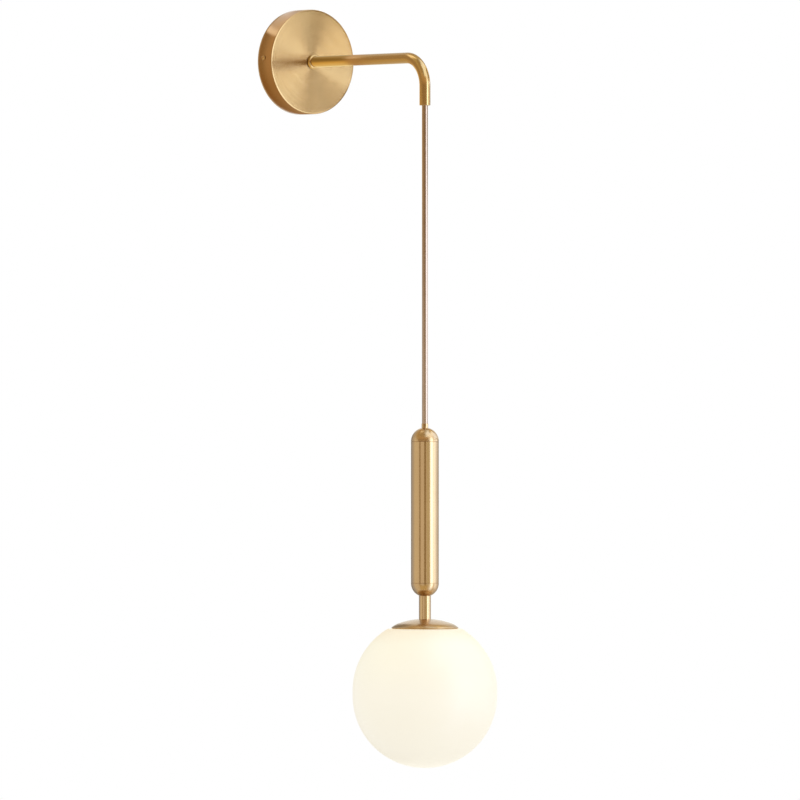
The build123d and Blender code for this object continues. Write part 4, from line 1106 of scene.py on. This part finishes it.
def light_patches(wire, across, up):
    """Where the wall is nearly white."""
    near = (window(wire, across, rise=(-0.06, -0.035), fall=(0.1, 0.2))
            * window(wire, up, rise=(0.03, 0.05), fall=(0.2, 0.28)))
    left = (fade(wire, across, (-0.3, -0.05), ends=(1.0, 0.0))
            * fade(wire, up, (-0.3, -0.2), ends=(1.0, 0.0)))
    right = fade(wire, across, (0.02, 0.1)) * fade(wire, up, (-0.16, -0.1), ends=(1.0, 0.0))
    patches = near * 0.4 + high_patch(wire, across, up) + left + right
    return wire.node("ShaderNodeClamp", {}, {"Value": patches})


def pendant_shadow(wire, across, up):
    """Where the wall is dark behind the pendant and beside it."""
    behind = window(wire, across, rise=(-0.05, 0.0), fall=(0.05, 0.11))
    beside = fade(wire, across, (0.27, 0.36), ends=(0.0, 0.6))
    return (behind + beside) * fade(wire, up, (-0.36, -0.28), ends=(1.0, 0.0))


def beside_canopy(wire, across, up, paint):
    """The paint with a shadow round the canopy's foot, a lighter ring and a glint, upper left."""
    from_middle = wire.math("SQRT", across * across + up * up)
    turn = wire.math("ARCTAN2", up, 0.0 - across)
    close = fade(wire, from_middle, (0.08, 0.10), ends=(1.0, 0.0))
    lift = fade(wire, from_middle, (0.060, 0.071), ends=(0.0, 0.8)) * close
    under = fade(wire, turn, (-0.6, 0.0), ends=(0.5, 0.0)) * close
    contact = fade(wire, from_middle, (0.057, 0.07), ends=(0.6, 0.0))
    foot = wire.node("ShaderNodeClamp", {}, {"Value": under + contact})
    glint = (window(wire, turn, rise=(0.59, 0.68), fall=(1.2, 1.6))
             * fade(wire, turn, (0.72, 0.86), ends=(1.0, 0.45)) * close)
    paint = between(wire, lift, paint, (0.84, 0.59, 0.38, 1))
    paint = between(wire, foot, paint, (0.48, 0.28, 0.12, 1))
    return between(wire, glint, paint, (1.6, 1.55, 1.6, 1))


def wall_colour(wire, across, up):
    level = wire.node("ShaderNodeMapRange", {}, {
        "Value": up, "From Min": -WALL_SPAN, "From Max": WALL_SPAN})
    # Painted shade by height: dark brown at the canopy's height and just above, where the canopy
    # and the arm shade the wall, golden just below it and cool grey low down.
    paint = wire.node("ShaderNodeValToRGB", {"stops": [
        (0.0, (0.60, 0.67, 0.82)),
        (0.29, (0.70, 0.68, 0.62)),
        (0.425, (0.82, 0.66, 0.36)),
        (0.467, (0.72, 0.57, 0.32)),
        (0.50, (0.56, 0.44, 0.29)),
        (0.70, (0.60, 0.48, 0.31)),
        (0.90, (0.75, 0.68, 0.42)),
    ]}, {"Fac": level})
    paint = between(wire, light_patches(wire, across, up), paint, (1.02, 1.03, 0.98, 1))
    paint = between(wire, pendant_shadow(wire, across, up), paint, (0.32, 0.30, 0.25, 1))
    return beside_canopy(wire, across, up, paint)


def wall_strength(wire, across, up):
    return high_patch(wire, across, up) * 0.9 + 1.0


only_metal(wall, shine("wall_paint", wall_colour, wall_strength))


# Face disc: a one-sided golden panel just before the canopy's face, clear from behind and hidden
# from the camera. The arm and its collar mirror it in place of the face's coarser reflection.
FACE_GAP = 0.0015
FACE_MIDDLE = 0.001
FACE_STRENGTH = 1.25


# Painted reflection: the face's sheen in wedges round its middle, golden below and to the lower
# left, dark to the left and upper left, dull brown above.
def face_colour(wire, across, up):
    turn = wire.math("ARCTAN2", up, FACE_MIDDLE - across) / pi + 0.5
    return wire.node("ShaderNodeValToRGB", {"stops": [
        (0.0, (0.95, 0.80, 0.40)),
        (0.15, (1.0, 0.84, 0.40)),
        (0.32, (0.95, 0.72, 0.27)),
        (0.44, (0.66, 0.49, 0.19)),
        (0.54, (0.38, 0.28, 0.11)),
        (0.72, (0.33, 0.25, 0.10)),
        (0.90, (0.50, 0.40, 0.21)),
    ]}, {"Fac": turn})


face_light = shine("face_light", face_colour, lambda wire, across, up: FACE_STRENGTH,
                   one_sided=True)
only_metal(disc("face_card", CANOPY_RADIUS, RING_POINTS, place=(0, -CANOPY_FACE - FACE_GAP, 0),
                rotation=(pi / 2, 0, 0)), face_light)


# Key light: one large soft lamp on the camera's right that models the globe and casts the shadows.
# The metal doesn't mirror it.
KEY_TURN = 50
KEY_DISTANCE = 2.0
KEY_HEIGHT = 0.2
key = bpy.data.lights.new("key", "AREA")
key.shape = "RECTANGLE"
key.size = 1.2
key.size_y = 1.8
key.energy = 3.0
key_lamp = bpy.data.objects.new("key", key)
bpy.context.scene.collection.objects.link(key_lamp)
key_lamp.location = Vector((0, -ARM_REACH, KEY_HEIGHT)) + sideways(KEY_TURN) * KEY_DISTANCE
key_lamp.rotation_mode = "QUATERNION"
key_lamp.rotation_quaternion = sideways(KEY_TURN).to_track_quat("Z", "Y")
key_lamp.visible_glossy = False


# Floor: a round pale board below the view that fades into the white surround at its edge and keeps
# the lamp's shadow. It is clear from below.
FLOOR_RADIUS = 1.25
FLOOR_HEIGHT = -0.84
FLOOR_INNER = 0.4
floor = disc("floor", FLOOR_RADIUS, RING_POINTS, place=(0, -ARM_REACH, FLOOR_HEIGHT))
floor_paint, wire = new_finish("floor_paint")
place = place_on(wire)
paint = wire.node("ShaderNodeBsdfDiffuse", {}, {
    "Color": between(wire, noise(wire, place, 6.0), (0.80, 0.80, 0.80, 1), (0.84, 0.84, 0.84, 1))})
white = wire.node("ShaderNodeEmission", {}, {"Color": WHITE, "Strength": 1.0})
from_lamp = wire.node("ShaderNodeVectorMath", {"operation": "LENGTH"}, {0: place}, "Value")
whiteness = fade(wire, from_lamp, (FLOOR_INNER, FLOOR_RADIUS), ends=(0.5, 1.0)) * seen_white(wire)
lit = wire.node("ShaderNodeMixShader", {}, {0: whiteness, 1: paint, 2: white})
below = wire.node("ShaderNodeNewGeometry", {}, {}, "Backfacing")
clear = wire.node("ShaderNodeBsdfTransparent", {}, {})
wire.node("ShaderNodeOutputMaterial", {}, {
    "Surface": wire.node("ShaderNodeMixShader", {}, {0: below, 1: lit, 2: clear})})
floor.data.materials.append(floor_paint)
floor.visible_glossy = False


# Camera: a long lens far to the left of the wall's normal, level with the lamp's middle, as in the
# photograph.
CAMERA_TARGET = Vector((-0.0203, -0.1970, -0.3556))
CAMERA_DISTANCE = 10.65
CAMERA_LENS = 462.0
lens = bpy.data.cameras.new("camera")
lens.lens = CAMERA_LENS
lens.sensor_width = 36.0
lens.clip_end = 100.0
camera = bpy.data.objects.new("camera", lens)
bpy.context.scene.collection.objects.link(camera)
camera.location = CAMERA_TARGET + sideways(0) * CAMERA_DISTANCE
camera.rotation_mode = "QUATERNION"
camera.rotation_quaternion = (-sideways(0)).to_track_quat("-Z", "Y")
bpy.context.scene.camera = camera
bpy.context.scene.view_settings.view_transform = "Standard"
